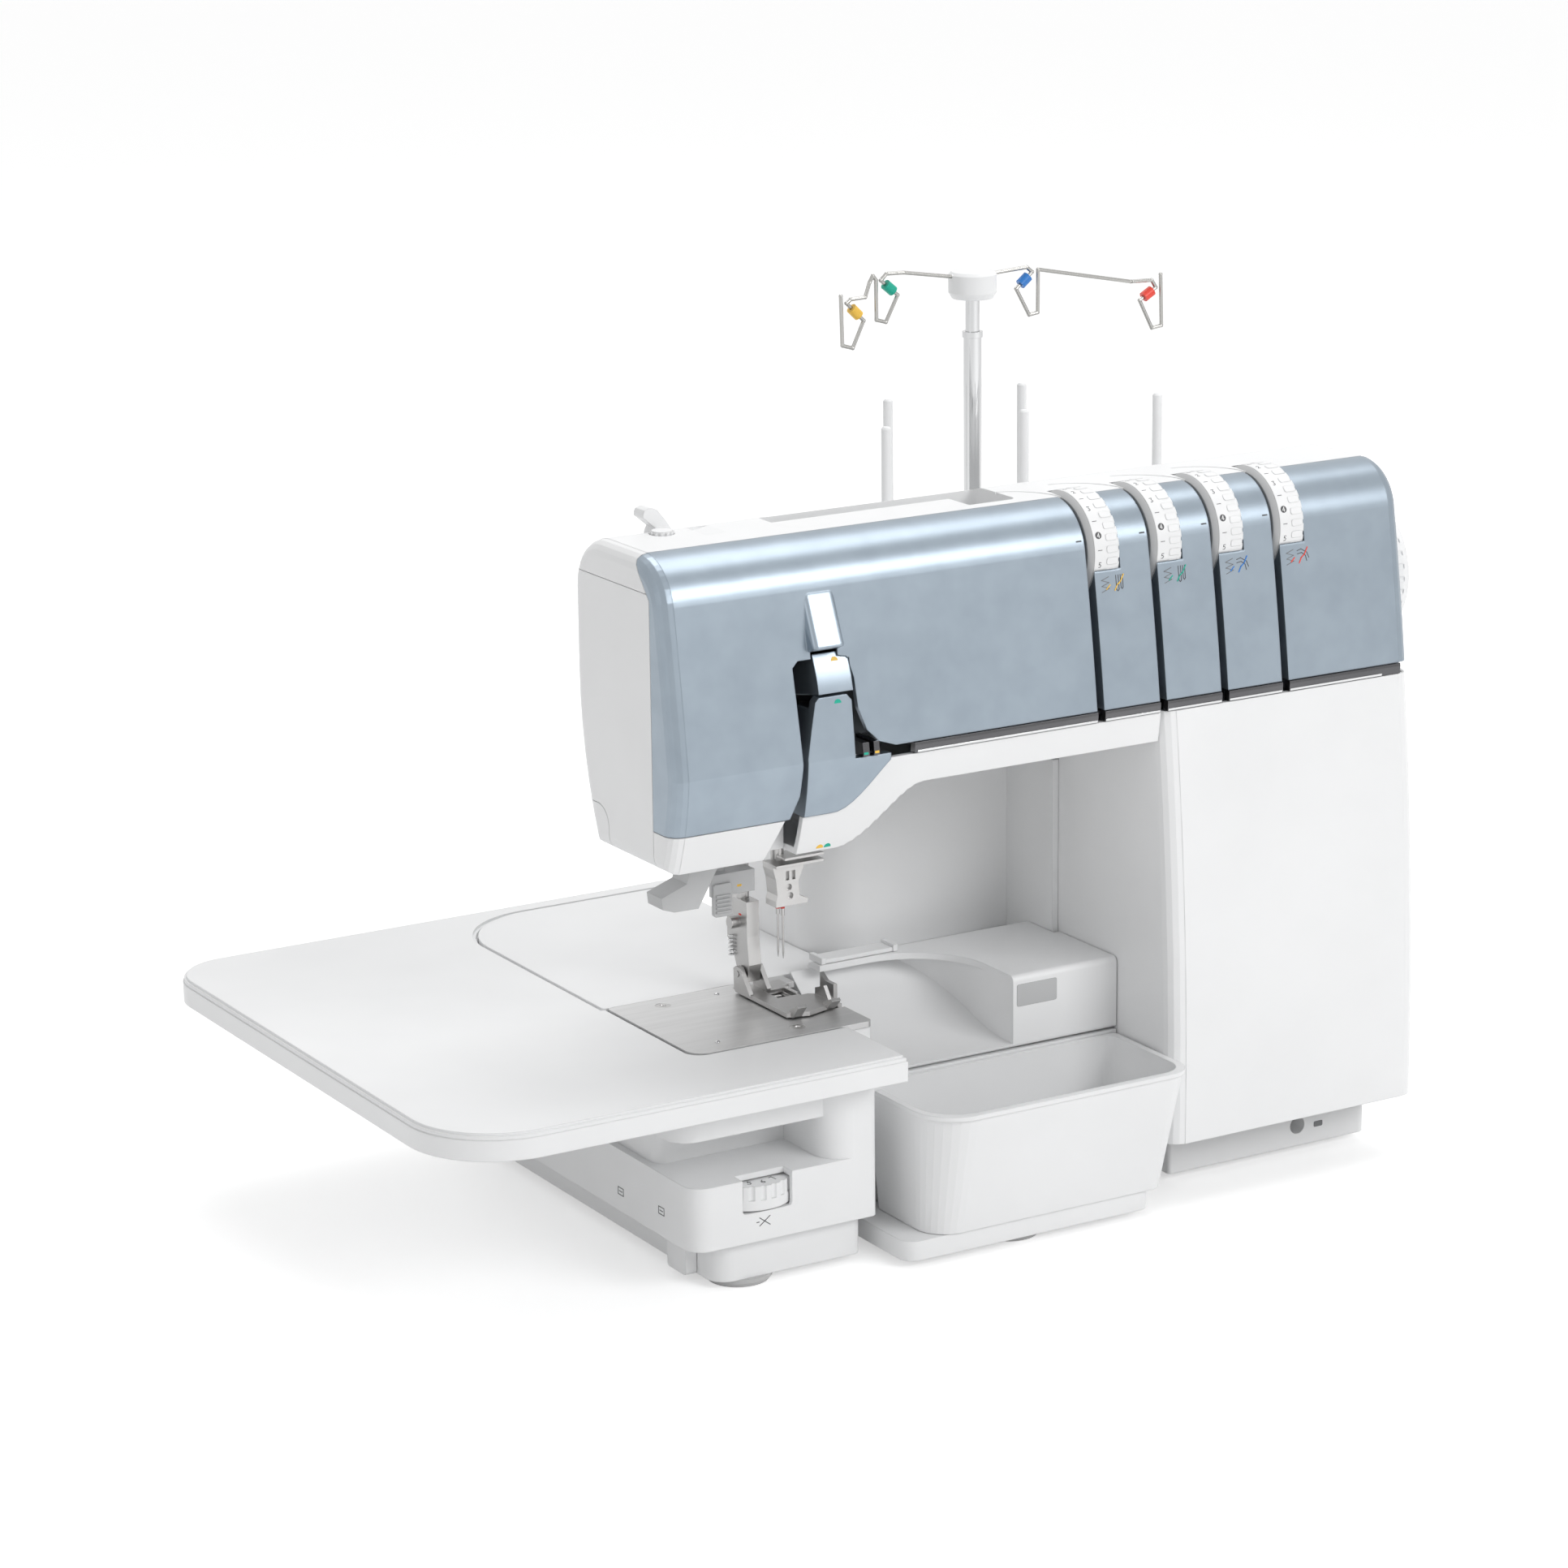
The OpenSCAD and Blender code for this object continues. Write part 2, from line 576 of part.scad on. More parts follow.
module lower_looper() color(steel) place() difference() {
    union() {
        looper_hub(72);
        along_y(73, 73 + looper_t) difference() {
            polygon([[57, 50], [67, 50], [60, 82], [59.6, 92], [56, 95.5], [49.6, 97], [49, 96], [54.5, 92],
                [56, 82]]);
            translate([57.8, 88]) circle(r = 0.8);
        }
    }
    looper_bore(71);
}
knife_x = 60.8;
knife_t = 2.2;
module upper_knife() color(steel) place() union() {
    along_x(knife_x + knife_t + seam, knife_x + 2 * knife_t + seam) polygon([[66.3, 76], [72, 76], [79, 92],
        [79, 120], [74, 117], [66.3, 117]]);
}
module lower_knife() color(steel) place() along_x(knife_x, knife_x + knife_t) polygon([[58, 86], [66.3, 86],
    [79, 100], [79, 109.6], [58, 109.6]]);

// ---- arm: frame, covers, dials ----
channel_pocket = [[-5, 36], [-40, 70], [238, 325]];
module arm_frame() color(grey) place() difference() {
    union() {
        difference() {
            along_x(-50, arm_right - 8) intersection() {
                arm_profile(frame_inset);
                box_zone([-60, 200], [cover_bottom + 4, 400]);
            }
            for (bay = [[-44, 58], [66, 200], [212, arm_right - 14]]) along_x(bay[0], bay[1]) intersection() {
                arm_profile(frame_inset + 6);
                box_zone([-60, 200], [cover_bottom + 10, 400]);
            }
        }
        block([24, 58], [66, 85], [230, 316]);
        block([24, 58], [85, 112], [230, 272]);
        block([230, 335], [22, 68], [pan_top + seam, cover_bottom + 5]);
        block([channel_pocket[0][1], 58], [54, 70], [250, 282]);
        block([-14, channel_pocket[0][0]], [52, 70], [250, 300]);
    }
    block(channel_pocket[0], channel_pocket[1], channel_pocket[2]);
    block([recess_x[0] - 4, recess_x[1] + 4], [recess_y[0] - 4, recess_y[1] + 4], [recess_floor - 4, 400]);
    for (i = [0:3]) {
        rod_x([dial_left(i) - 3, dial_left(i) + dial_w + 1], crown_front_c[0], dial_z, 2 * dial_r + 2);
        rod_x([dial_left(i), dial_left(i) + 23], crown_front_c[0], dial_z, 2 * (dial_shaft_r + shaft_play));
    }
    rod_x([-60, arm_right + 1], shaft_y, shaft_z, shaft_d + 2 * shaft_play);
    rod_z(needle_x, needle_y, [200, 330], needle_bar_d + 2 * shaft_play);
    rod_z(presser_x, presser_y, [200, 330], presser_bar_d + 2 * shaft_play);
}
function slot_left(i) = main_cover_right + slot_pitch * i;
function dial_left(i) = slot_left(i) + slot_w + 0.2;
dial_z = crown_front_c[1] + 0.5;
module rim(x0, x1, low) along_x(x0, x1) intersection() {
    ring(slot_depth);
    front_zone(low);
}
module front_skin(x0, x1, low) along_x(x0, x1) intersection() {
    ring(cover_wall);
    front_zone(low);
}
module cap_front_zone(low) polygon([[-60, low], [side_seam, low], [side_seam, cap_seam - 3],
    [crown_seam, arm_top - 3], [crown_seam, 400], [-60, 400]]);
module cap_rear_zone() polygon([[side_seam + seam, 150], [far, 150], [far, 500], [crown_seam + seam, 500],
    [crown_seam + seam, arm_top - 3], [side_seam + seam, cap_seam - 3]]);
module hood_form(d, low) hull() {
    for (x = [hood_x + hood_edge_r + 1.5, hood_x + hood_w - hood_edge_r - 1.5]) {
        translate([x, hood_front + hood_edge_r, hood_bottom + low])
            cylinder(r = hood_edge_r - d, h = 1, $fn = 24);
        translate([x, hood_front + 12.5, channel_top + hood_h - hood_edge_r])
            sphere(r = hood_edge_r - d, $fn = 24);
    }
    for (x = [hood_x + 1 + d, hood_x + hood_w - 1 - d]) translate([x, 9 + d, channel_top + low])
        cylinder(r = 1, h = hood_h - 5, $fn = 16);
}
hood_edge_r = 3;
hood_front = -6;
hood_bottom = channel_top + 5.5;
hood_x = channel_left + 7.5;
module front_cover() color(blue) place() difference() {
    union() {
        front_skin(arm_left + end_r - e, main_cover_right, chin_top);
        rim(main_cover_right - 2.4, main_cover_right, cover_bottom);
        intersection() {
            difference() {
                arm_end(arm_left, 1, 0);
                arm_end(arm_left, 1, cover_wall);
            }
            along_x(arm_left - 1, arm_left + end_r + cap_reach) cap_front_zone(chin_top);
        }
        difference() {
            hood_form(0, 0);
            along_x(-10, 40) arm_profile(cover_wall - 0.5);
        }
    }
    rod_x([lever_x[0] - 0.5, lever_x[1] + 0.5], take_up_axis[0], take_up_axis[1], 2 * take_up_r + 1);
    channel_window();
}
module channel_window() along_y(-60, 24) polygon([[channel_left - 3.5, chin_top - 1],
    [channel_left + 1, chin_top + 11], [channel_left + 2, chin_top + 25], [channel_left, channel_top - 3],
    [channel_left + 3, channel_top], [hood_x + 2.6, channel_top], [hood_x + 2.6, channel_top + 4],
    [hood_x + hood_w - 2.6, channel_top + 4], [hood_x + hood_w - 2.6, channel_top],
    [channel_right - 3, channel_top - 1], [channel_right, channel_top - 11],
    [channel_right + 1, cover_bottom + 20], [channel_right + 5, cover_bottom + 9],
    [channel_right + 11, cover_bottom + 3], [channel_right + 20, cover_bottom],
    [main_cover_right + 9, cover_bottom], [main_cover_right + 9, chin_top - 1]]);
module tension_cover(i) color(blue) place() difference() {
    x0 = slot_left(i) + slot_w;
    x1 = i < 3 ? slot_left(i + 1) : arm_right - end_r;
    union() {
        front_skin(x0, x1 + (i < 3 ? 0 : e), cover_bottom);
        rim(x0, x0 + 2.4, cover_bottom);
        if (i < 3) rim(x1 - 2.4, x1, cover_bottom);
        if (i == 3) intersection() {
            difference() {
                arm_end(arm_right, -1, 0);
                arm_end(arm_right, -1, cover_wall);
            }
            along_x(arm_right - end_r - cap_reach, arm_right + 1) front_zone(cover_bottom);
        }
    }
    window = [x0 - 1, dial_left(i) + dial_w + 0.8];
    block(window, [-60, 100], [dial_z - 4, 400]);
    rod_x(window, crown_front_c[0], dial_z, 2 * dial_r + 1.4);
}
module tension_cover_1() tension_cover(0);
module tension_cover_2() tension_cover(1);
module tension_cover_3() tension_cover(2);
module tension_cover_4() tension_cover(3);
module tension_dial(i) color(white) place() translate([dial_left(i), crown_front_c[0], dial_z])
    rotate([0, 90, 0])
    difference() {
        union() {
            cylinder(r = dial_r, h = dial_w);
            cylinder(r = dial_shaft_r, h = dial_w + 8);
        }
        // Finger grip along the right edge and the open cup on the left.
        for (a = [0:12:348]) rotate([0, 0, a]) translate([dial_r + 0.3, 0, dial_w - 4])
            cylinder(r = 1.1, h = 5, $fn = 16);
        difference() {
            translate([0, 0, -1]) cylinder(r = dial_r - 2.6, h = 7);
            cylinder(r = dial_shaft_r + 2, h = 7);
        }
    }
module tension_dial_1() tension_dial(0);
module tension_dial_2() tension_dial(1);
module tension_dial_3() tension_dial(2);
module tension_dial_4() tension_dial(3);
module top_cover() color(white) place() difference() {
    union() {
        along_x(arm_left + end_r - e, arm_right - end_r + e) intersection() {
            ring(cover_wall);
            top_zone();
        }
        intersection() {
            difference() {
                arm_end(arm_left, 1, 0);
                arm_end(arm_left, 1, cover_wall);
            }
            along_x(arm_left - 1, arm_left + end_r + cap_reach) intersection() {
                cap_rear_zone();
                box_zone([0, far], [cap_seam, far]);
            }
        }
        intersection() {
            difference() {
                arm_end(arm_right, -1, 0);
                arm_end(arm_right, -1, cover_wall);
            }
            along_x(arm_right - end_r - cap_reach, arm_right + 1) top_zone();
        }
        // Walls and floor of the handle recess.
        block([recess_x[0] - 2.4, recess_x[1] + 2.4], [recess_y[0] - 2.4, recess_y[1] + 2.4],
            [recess_floor - 2.4, arm_top - cover_wall + 0.5]);
    }
    intersection() {
        along_z(recess_floor, arm_top + 1) arc_pad(recess_x, recess_y, recess_r);
        block(recess_x, recess_y, [recess_floor, arm_top + 1]);
    }
    // Windows of the tension dials and the thread grooves that run back from them.
    for (i = [0:3]) {
        rod_x([dial_left(i) - 1, dial_left(i) + dial_w + 0.8], crown_front_c[0], dial_z, 2 * dial_r + 1.4);
        translate([slot_left(i) - 26, 28, arm_top - 1]) difference() {
            cylinder(r = 28, h = 2);
            translate([0, 0, -1]) cylinder(r = 26.6, h = 4);
            translate([-30, -30, -1]) cube([60, 30, 4]);
            translate([-30, -1, -1]) cube([32, 60, 4]);
        }
    }
    rod_z(dial_top[0], dial_top[1], [arm_top - 6, arm_top + 1], 2 * (dial_top_r + grip_r + seam));
    block([lever_at[0] - lever_drum_r - 0.8, lever_at[0] + lever_drum_r + 0.8],
        [lever_at[1] - lever_t / 2 - seam, lever_at[1] + lever_t / 2 + seam], [arm_top - 12, arm_top + 1]);
    // Shallow finger scoop beside the pressure dial.
    along_y(47, 65) polygon([[-15.5, arm_top + 1], [-15.5, arm_top - 1.8], [-4, arm_top], [-4, arm_top + 1]]);
}
dial_top = [-31, 61];
dial_top_r = 5;
grip_r = 0.8;
lever_at = [-25.4, 74.5];
lever_t = 9;
lever_drum_r = 5.2;
recess_r = [12, 4, 4, 12];
module carry_handle() color(white) place() intersection() {
    along_x(recess_x[0] + seam, recess_x[1] - 26)
        arc_pad([recess_y[0] + seam, recess_y[1] - 16], [arm_top - 11, arm_top - 0.4], [4, 4, 3, 1.5]);
    along_z(recess_floor, arm_top + 1) arc_pad([recess_x[0] + seam, recess_x[1]],
        [recess_y[0] + seam, recess_y[1]],
        [recess_r[0] - seam, 4, 4, recess_r[3] - seam]);
}
hump_x = [-22, rear_left - seam];
hump_back = 122;
rear_rise = 7.5;
module rear_cover() color(white) place() difference() {
    union() {
        along_x(arm_left + end_r + seam, tower_left - 0.6) intersection() {
            ring(cover_wall);
            box_zone([crown_seam + seam, 200], [head_bottom + rear_rise, rear_seam - seam]);
        }
        along_x(tower_left - 0.6 - e, arm_right - end_r) intersection() {
            ring(cover_wall);
            box_zone([crown_seam + seam, 200], [cover_bottom, rear_seam - seam]);
        }
        intersection() {
            difference() {
                arm_end(arm_right, -1, 0);
                arm_end(arm_right, -1, cover_wall);
            }
            along_x(arm_right - end_r - cap_reach, arm_right + 1)
                box_zone([crown_seam + seam, 200], [cover_bottom, rear_seam - seam]);
        }
        difference() {
            along_z(head_bottom + rear_rise, rear_top) arc_pad(hump_x, [60, hump_back], [1, 1, 2, 26]);
            along_z(0, rear_top - 3) arc_pad([hump_x[0] + 3, hump_x[1] - 3], [50, hump_back - 3],
                [1, 1, 2, 23]);
            along_x(-100, 200) arm_profile(0.5);
            block([-100, 200], [0, 70], [0, 400]);
        }
    }
    block([hump_x[0] + 3, hump_x[1] - 3], [60, 100], [head_bottom, rear_top - 3]);
    rod_x([arm_right - 12, arm_right + 2], shaft_y, shaft_z, shaft_d + 2);
}
door_y = [58, 100];
door_top = 228;
module head_side_cover() color(white) place() difference() {
    intersection() {
        difference() {
            arm_end(arm_left, 1, 0);
            arm_end(arm_left, 1, cover_wall);
        }
        along_x(arm_left - 1, arm_left + end_r - seam) intersection() {
            cap_rear_zone();
            box_zone([0, 200], [0, cap_seam - seam]);
        }
    }
    along_x(-100, 0) arc_pad([door_y[0] - seam, door_y[1]], [150, door_top + seam], [1, 1, 1, 10]);
}
module light_door() color(white) place() intersection() {
    difference() {
        arm_end(arm_left, 1, 0);
        arm_end(arm_left, 1, cover_wall);
    }
    along_x(arm_left - 1, arm_left + end_r - seam) arc_pad([door_y[0], door_y[1]], [150, door_top],
        [1, 1, 1, 10]);
}
module chin_shell() difference() {
    union() {
        intersection() {
            difference() {
                arm_end(arm_left, 1, 0);
                arm_end(arm_left, 1, cover_wall);
            }
            along_x(arm_left - 1, arm_left + end_r + cap_reach)
                box_zone([-60, side_seam], [0, chin_top - seam]);
        }
        along_x(arm_left + end_r - e, 0) intersection() {
            ring(cover_wall);
            box_zone([-60, side_seam - seam], [0, chin_top - seam]);
        }
        along_x(arm_left + end_r + seam, 0) intersection() {
            ring(cover_wall);
            union() {
                box_zone([-60, crown_seam], [0, chin_top - seam]);
                box_zone([0, 200], [0, head_bottom + 7]);
            }
        }
    }
    // Slanted right end beside the thread channel.
    along_y(-60, 200) polygon([[channel_left - 3.5, chin_top + 5], [channel_left - 14, head_bottom - 1],
        [50, head_bottom - 1], [50, chin_top + 5]]);
}
module chin_cover() color(white) place() union() {
    chin_shell();
    // Inner wall behind the lower end of the thread channel.
    block([channel_left - 24, floor_left - 1], [14, 16], [head_bottom + 1, cover_bottom + 3.5]);
}
floor_left = 6;
module arm_floor() color(white) place() difference() {
    union() {
        intersection() {
            along_x(floor_left, tower_left - 0.6) arm_profile(0);
            difference() {
                under_block(3.2);
                under_block(0);
            }
        }
        difference() {
            intersection() {
                along_x(floor_left, tower_left - 0.6) intersection() {
                    ring(cover_wall);
                    front_zone(0);
                }
                along_y(-60, 60) polygon(concat([[0, 0]], [[0, lip_top(0)]],
                    [for (x = lip_xs) [x, min(lip_cap, lip_top(x))]], [[300, lip_cap], [300, 0]]));
            }
            under_block(0);
        }
    }
    rod_z(needle_x, needle_y, [190, 240], needle_bar_d + 3);
    rod_z(presser_x, presser_y, [190, 240], presser_bar_d + 3);
    // Seam to the rear cover.
    along_x(floor_left - 1, tower_left) intersection() {
        ring(cover_wall + seam, -1);
        box_zone([crown_seam, far], [head_bottom + rear_rise - seam, far]);
    }
}
take_up_axis = [60, 272];
take_up_r = 66;
lever_x = [channel_left + 11.8, channel_left + 11.8 + lever_w];
module take_up_lever() color(blue) place() difference() {
    union() {
        intersection() {
            rod_x(lever_x, take_up_axis[0], take_up_axis[1], 2 * take_up_r);
            along_x(lever_x[0] - 1, lever_x[1] + 1) polygon([take_up_axis,
                [take_up_axis[0] - 90, take_up_axis[1] + 17.5],
                [take_up_axis[0] - 90, take_up_axis[1] + 47]]);
        }
        rod_x([8, 33], take_up_axis[0], take_up_axis[1], 12);
    }
    intersection() {
        rod_x([0, 40], take_up_axis[0], take_up_axis[1], 2 * take_up_r - 6);
        block([lever_x[1] - 3, 40], [-50, 52], [200, 400]);
    }
    rod_x([0, 40], take_up_axis[0], take_up_axis[1], 6 + 2 * shaft_play);
}
guard_right = floor_left + 45;
module guard_plan() polygon([[floor_left, chin_top + seam], [floor_left, cover_bottom], [9, channel_top - 32],
    [12, channel_top - 20], [14, channel_top - 18], [29, channel_top - 18], [31.5, channel_top - 21],
    [31.5, cover_bottom - 3], [guard_right, cover_bottom - 3], [guard_right, chin_top]]);
module take_up_guard() color(blue) place() difference() {
    union() {
        intersection() {
            along_x(floor_left - 2, guard_right + 9) ring(4, -1.2);
            along_y(-60, 40) guard_plan();
        }
        intersection() {
            along_x(floor_left - 2, guard_right) ring(guard_depth, -1.2);
            along_y(-60, guard_depth) difference() {
                guard_plan();
                translate([guard_wall, 0]) guard_plan();
                translate([0, channel_top - 24]) square([far, far]);
            }
        }
    }
    along_y(-60, 60) polygon(concat([[0, 0]], [[0, lip_top(0) + seam]],
        [for (x = lip_xs) [x, lip_top(x) + seam]], [[300, 0]]));
}
guard_wall = 1.6;
guard_depth = 16;
module thread_guides() color(dark) place() {
    for (g = [[35, 3.4], [41, 3]]) intersection() {
        block([g[0], g[0] + g[1]], [-9.5, 12], [cover_bottom - 2.6, cover_bottom + 4]);
        along_x(30, 50) ring(18, -2.4);
    }
}
module trim_strip() color(dark) place() for (i = [0:4])
    along_x(i == 0 ? channel_right + 30 : slot_left(i - 1) + slot_w, i < 4 ? slot_left(i) : arm_right - end_r)
        intersection() {
            ring(cover_wall, -0.7);
            box_zone([-60, crown_seam], [cover_bottom - trim_h, cover_bottom - seam]);
        }
module pressure_dial() color(white) place() union() {
    rod_z(dial_top[0], dial_top[1], [arm_top - 13, arm_top + 1.6], 2 * dial_top_r);
    for (a = [0:30:330]) translate([dial_top[0], dial_top[1], 0]) rotate([0, 0, a])
        translate([dial_top_r, 0, arm_top - 1]) cylinder(r = grip_r, h = 2.2, $fn = 16);
}
module lifter_lever() color(white) place() translate([lever_at[0], 0, arm_top]) union() {
    along_y(lever_at[1] - lever_t / 2, lever_at[1] + lever_t / 2) polygon([[-3.5, -3],
        [-4, 0.8], [-10.4, 6.2], [-10.4, 8], [-9.6, 9.6], [-7.2, 10.5], [-4.6, 10.2], [-2.8, 9.2], [0.4, 5.4],
        [3.8, 0.8], [3.5, -3]]);
    translate([0, lever_at[1] + lever_t / 2, -3]) rotate([90, 0, 0]) cylinder(r = lever_drum_r, h = lever_t);
}

// ---- tower, rear casing and controls ----
module tower_profile(d) intersection() {
    translate(front_c) circle(r = front_r - d, $fn = 280);
    box_zone([-60, tower_seam], [tower_bottom, lip_cap]);
}
module tower_end(x, side, d) {
    r = end_r + 1 - d;
    hull() for (k = [0:cap_steps]) {
        a = 90 * k / cap_steps;
        px = x + side * (end_r + 1 - r * sin(a) + (k == 0 ? cap_reach : 0));
        along_x(side < 0 ? px - e : px, side < 0 ? px : px + e)
            tower_profile(d + cap_inset + r * (1 - cos(a)));
    }
}
module tower_casing() color(white) place() difference() {
    union() {
        along_x(tower_left + end_r + 1, arm_right - end_r - 1) tower_profile(0);
        tower_end(tower_left, 1, 0);
        tower_end(arm_right, -1, 0);
    }
    along_x(tower_left + cover_wall, arm_right - cover_wall) intersection() {
        translate(front_c) circle(r = front_r - cover_wall, $fn = 280);
        box_zone([-60, 100], [0, 300]);
    }
    for (z = side_dials) rod_x([arm_right - 12, arm_right + 2], 46, z, 8 + 2 * shaft_play);
}
side_dials = [96, 150];
case_wall = 3.5;
module rear_plan(d) arc_pad([rear_left + d, arm_right - d], [throat_y + d, rear_back - d],
    [25 - d, 1, 16 - d, 16 - d]);
module rocker_drum(r, y0, y1) translate([rocker_x, y0, rocker_z]) rotate([-90, 0, 0])
    cylinder(r = r, h = y1 - y0);
module rear_casing() color(white) place() {
    rocker_drum(rocker_pin_r, switch_y[0] - 1, switch_y[1] + 1);
    casing_shell();
}
module casing_shell() difference() {
    union() {
        along_z(pan_top + seam, rear_top) rear_plan(0);
        block([step_left, arm_right], [tower_seam + seam, throat_y + 2], [tower_bottom, head_bottom - seam]);
        block([tower_left, arm_right], [tower_seam + seam, throat_y + 2], [head_bottom - 1, lip_cap]);
        along_z(head_bottom + rear_rise, rear_top)
            arc_pad([rear_left, arm_right], [arm_rear + seam, throat_y + 20], [1, 1, 1, 1]);
    }
    along_z(0, rear_top - case_wall) rear_plan(case_wall);
    block([tower_left + 6, arm_right - case_wall], [0, throat_y + 10], [0, lip_cap - case_wall]);
    rod_z(mast_x, mast_y, [rear_top - 10, rear_top + 1], mast_tube_d + 0.4);
    block([arm_right - 20, arm_right + 1], socket_y, socket_z);
    block([arm_right - 20, arm_right + 1], switch_y, switch_z);
}
socket_y = [140, 190];
socket_z = [86, 116];
switch_y = [152, 176];
switch_z = [52, 68];
rocker_r = 11.6;
rocker_pin_r = 1;
rocker_play = 1.8;
rocker_x = arm_right - 9;
rocker_z = (switch_z[0] + switch_z[1]) / 2;
module socket_panel() color(dark) place() difference() {
    block([arm_right - 16, arm_right - 0.6], [socket_y[0] + seam, socket_y[1] - seam],
        [socket_z[0] + seam, socket_z[1] - seam]);
    along_x(arm_right - 13, arm_right) arc_pad([socket_y[0] + 4, socket_y[0] + 22],
        [socket_z[0] + 8, socket_z[0] + 22],
        [2, 2, 2, 2]);
    along_x(arm_right - 13, arm_right) arc_pad([socket_y[0] + 29, socket_y[0] + 45],
        [socket_z[0] + 9, socket_z[0] + 21],
        [2, 2, 5, 5]);
    for (y = [9, 17]) rod_x([arm_right - 15, arm_right - 12], socket_y[0] + y, socket_z[0] + 15, 2.4);
}
// A drum on the casing's cross pin, cut to a rocker.
module power_switch() color(dark) place() difference() {
    intersection() {
        rocker_drum(rocker_r, switch_y[0] + seam, switch_y[1] - seam);
        block([arm_right - 12, arm_right + 6], switch_y, [switch_z[0] + rocker_play,
            switch_z[1] - rocker_play]);
    }
    rocker_drum(rocker_pin_r + shaft_play, switch_y[0] - 1, switch_y[1] + 1);
}
motor_at = [175, 92];
motor_x = [248, 330];
motor_d = 62;
motor_foot_w = 48;
motor_shaft_d = 10;
motor_shaft_l = 16;
module drive_motor() color(grey) place() union() {
    rod_x(motor_x, motor_at[0], motor_at[1], motor_d);
    rod_x([motor_x[0] - motor_shaft_l, motor_x[0] + 1], motor_at[0], motor_at[1], motor_shaft_d);
    block([motor_x[0] + 8, motor_x[1] - 10], [motor_at[0] - motor_foot_w / 2, motor_at[0] + motor_foot_w / 2],
        [pan_top + seam, motor_at[1]]);
}
module main_shaft() color(steel) place() rod_x([-40, arm_right + 12], shaft_y, shaft_z, shaft_d);
module handwheel() color(white) place() difference() {
    translate([arm_right + 0.5, shaft_y, shaft_z]) rotate([0, 90, 0]) rotate_extrude($fn = 96)
        polygon([[0, 0], [handwheel_r - 5, 0], [handwheel_r, 3], [handwheel_r, handwheel_w - 5],
            [handwheel_r - 2, handwheel_w], [handwheel_r - 9, handwheel_w],
                [handwheel_r - 13, handwheel_w - 5],
            [0, handwheel_w - 4]]);
    rod_x([arm_right, arm_right + 12 + seam], shaft_y, shaft_z, shaft_d + 0.1);
    for (a = [0:10:350]) translate([arm_right + 3.5, shaft_y, shaft_z]) rotate([a, 0, 0])
        translate([0, 0, handwheel_r + 0.9]) rotate([0, 90, 0])
            cylinder(r = 1.8, h = handwheel_w - 7, $fn = 16);
}
module side_dial(z) color(white) place() union() {
    rod_x([arm_right + seam, arm_right + 7], 46, z, side_dial_d);
    rod_x([arm_right - 8, arm_right + 1], 46, z, 8);
    along_x(arm_right + 6.5, arm_right + 11)
        arc_pad([44, 48], [z - side_dial_d / 2 + 1, z + side_dial_d / 2 - 1], [1, 1, 1, 1]);
}
module stitch_length_dial() side_dial(side_dials[0]);
module differential_dial() side_dial(side_dials[1]);

// ---- thread stand ----
platform_top = rear_top + platform_t;
front_row = 113;
pins_at = [for (i = [0:2]) [mast_x - pin_pitch + pin_pitch * i, front_row], for (i = [0:1])
    [mast_x - 0.5 * pin_pitch + pin_pitch * i, front_row + pin_rows]];
module spool_platform() color(white) place() difference() {
    union() {
        along_z(rear_top, platform_top) arc_pad([rear_left + 2, arm_right - 12],
            [arm_rear + 2, rear_back - 3],
            [6, 6, 18, 18]);
        rod_z(mast_x, mast_y, [platform_top - 1, platform_top + 6], mast_tube_d + 6);
    }
    for (p = pins_at) {
        rod_z(p[0], p[1], [platform_top - 5, platform_top + 1], pin_d + 0.1);
        translate([p[0], p[1], platform_top - 1.2]) difference() {
            cylinder(d = 46, h = 2);
            translate([0, 0, -1]) cylinder(d = 43, h = 4);
        }
    }
    rod_z(mast_x, mast_y, [rear_top - 1, platform_top + 7], mast_tube_d + 2 * shaft_play);
}
module spool_pins() color(white) place() for (p = pins_at) union() {
    rod_z(p[0], p[1], [platform_top - 4.8, pin_top - 1], pin_d);
    translate([p[0], p[1], pin_top - 1]) cylinder(d1 = pin_d, d2 = pin_d - 1.6, h = 1);
    rod_z(p[0], p[1], [platform_top + 0.1, platform_top + 7], pin_d + 9);
}
mast_foot = 190;
module mast_tube() color(steel) place() difference() {
    union() {
        rod_z(mast_x, mast_y, [mast_foot, mast_tube_top], mast_tube_d);
        rod_z(mast_x, mast_y, [mast_tube_top - 3, mast_tube_top], mast_tube_d + 1.4);
    }
    rod_z(mast_x, mast_y, [mast_foot - 1, mast_tube_top + 1], mast_rod_d + 2 * shaft_play);
}
// The tube slides down into the casing, and the rod a little further into the tube.
hub_bottom = mast_tube_top + hub_rise;
module mast_rod() color(steel) place()
    rod_z(mast_x, mast_y, [mast_foot + hub_rise + 5, hub_bottom + 3], mast_rod_d);
// A straight bar between two points, and a wire through a list of points in the plane of the mast.
module bar(a, b, d) {
    v = b - a;
    translate(a) rotate([0, acos(v[2] / norm(v)), atan2(v[1], v[0])]) cylinder(d = d, h = norm(v));
}
function stand(p) = [mast_x + p[0], mast_y, hub_bottom + p[1]];
knuckle = 0.16;
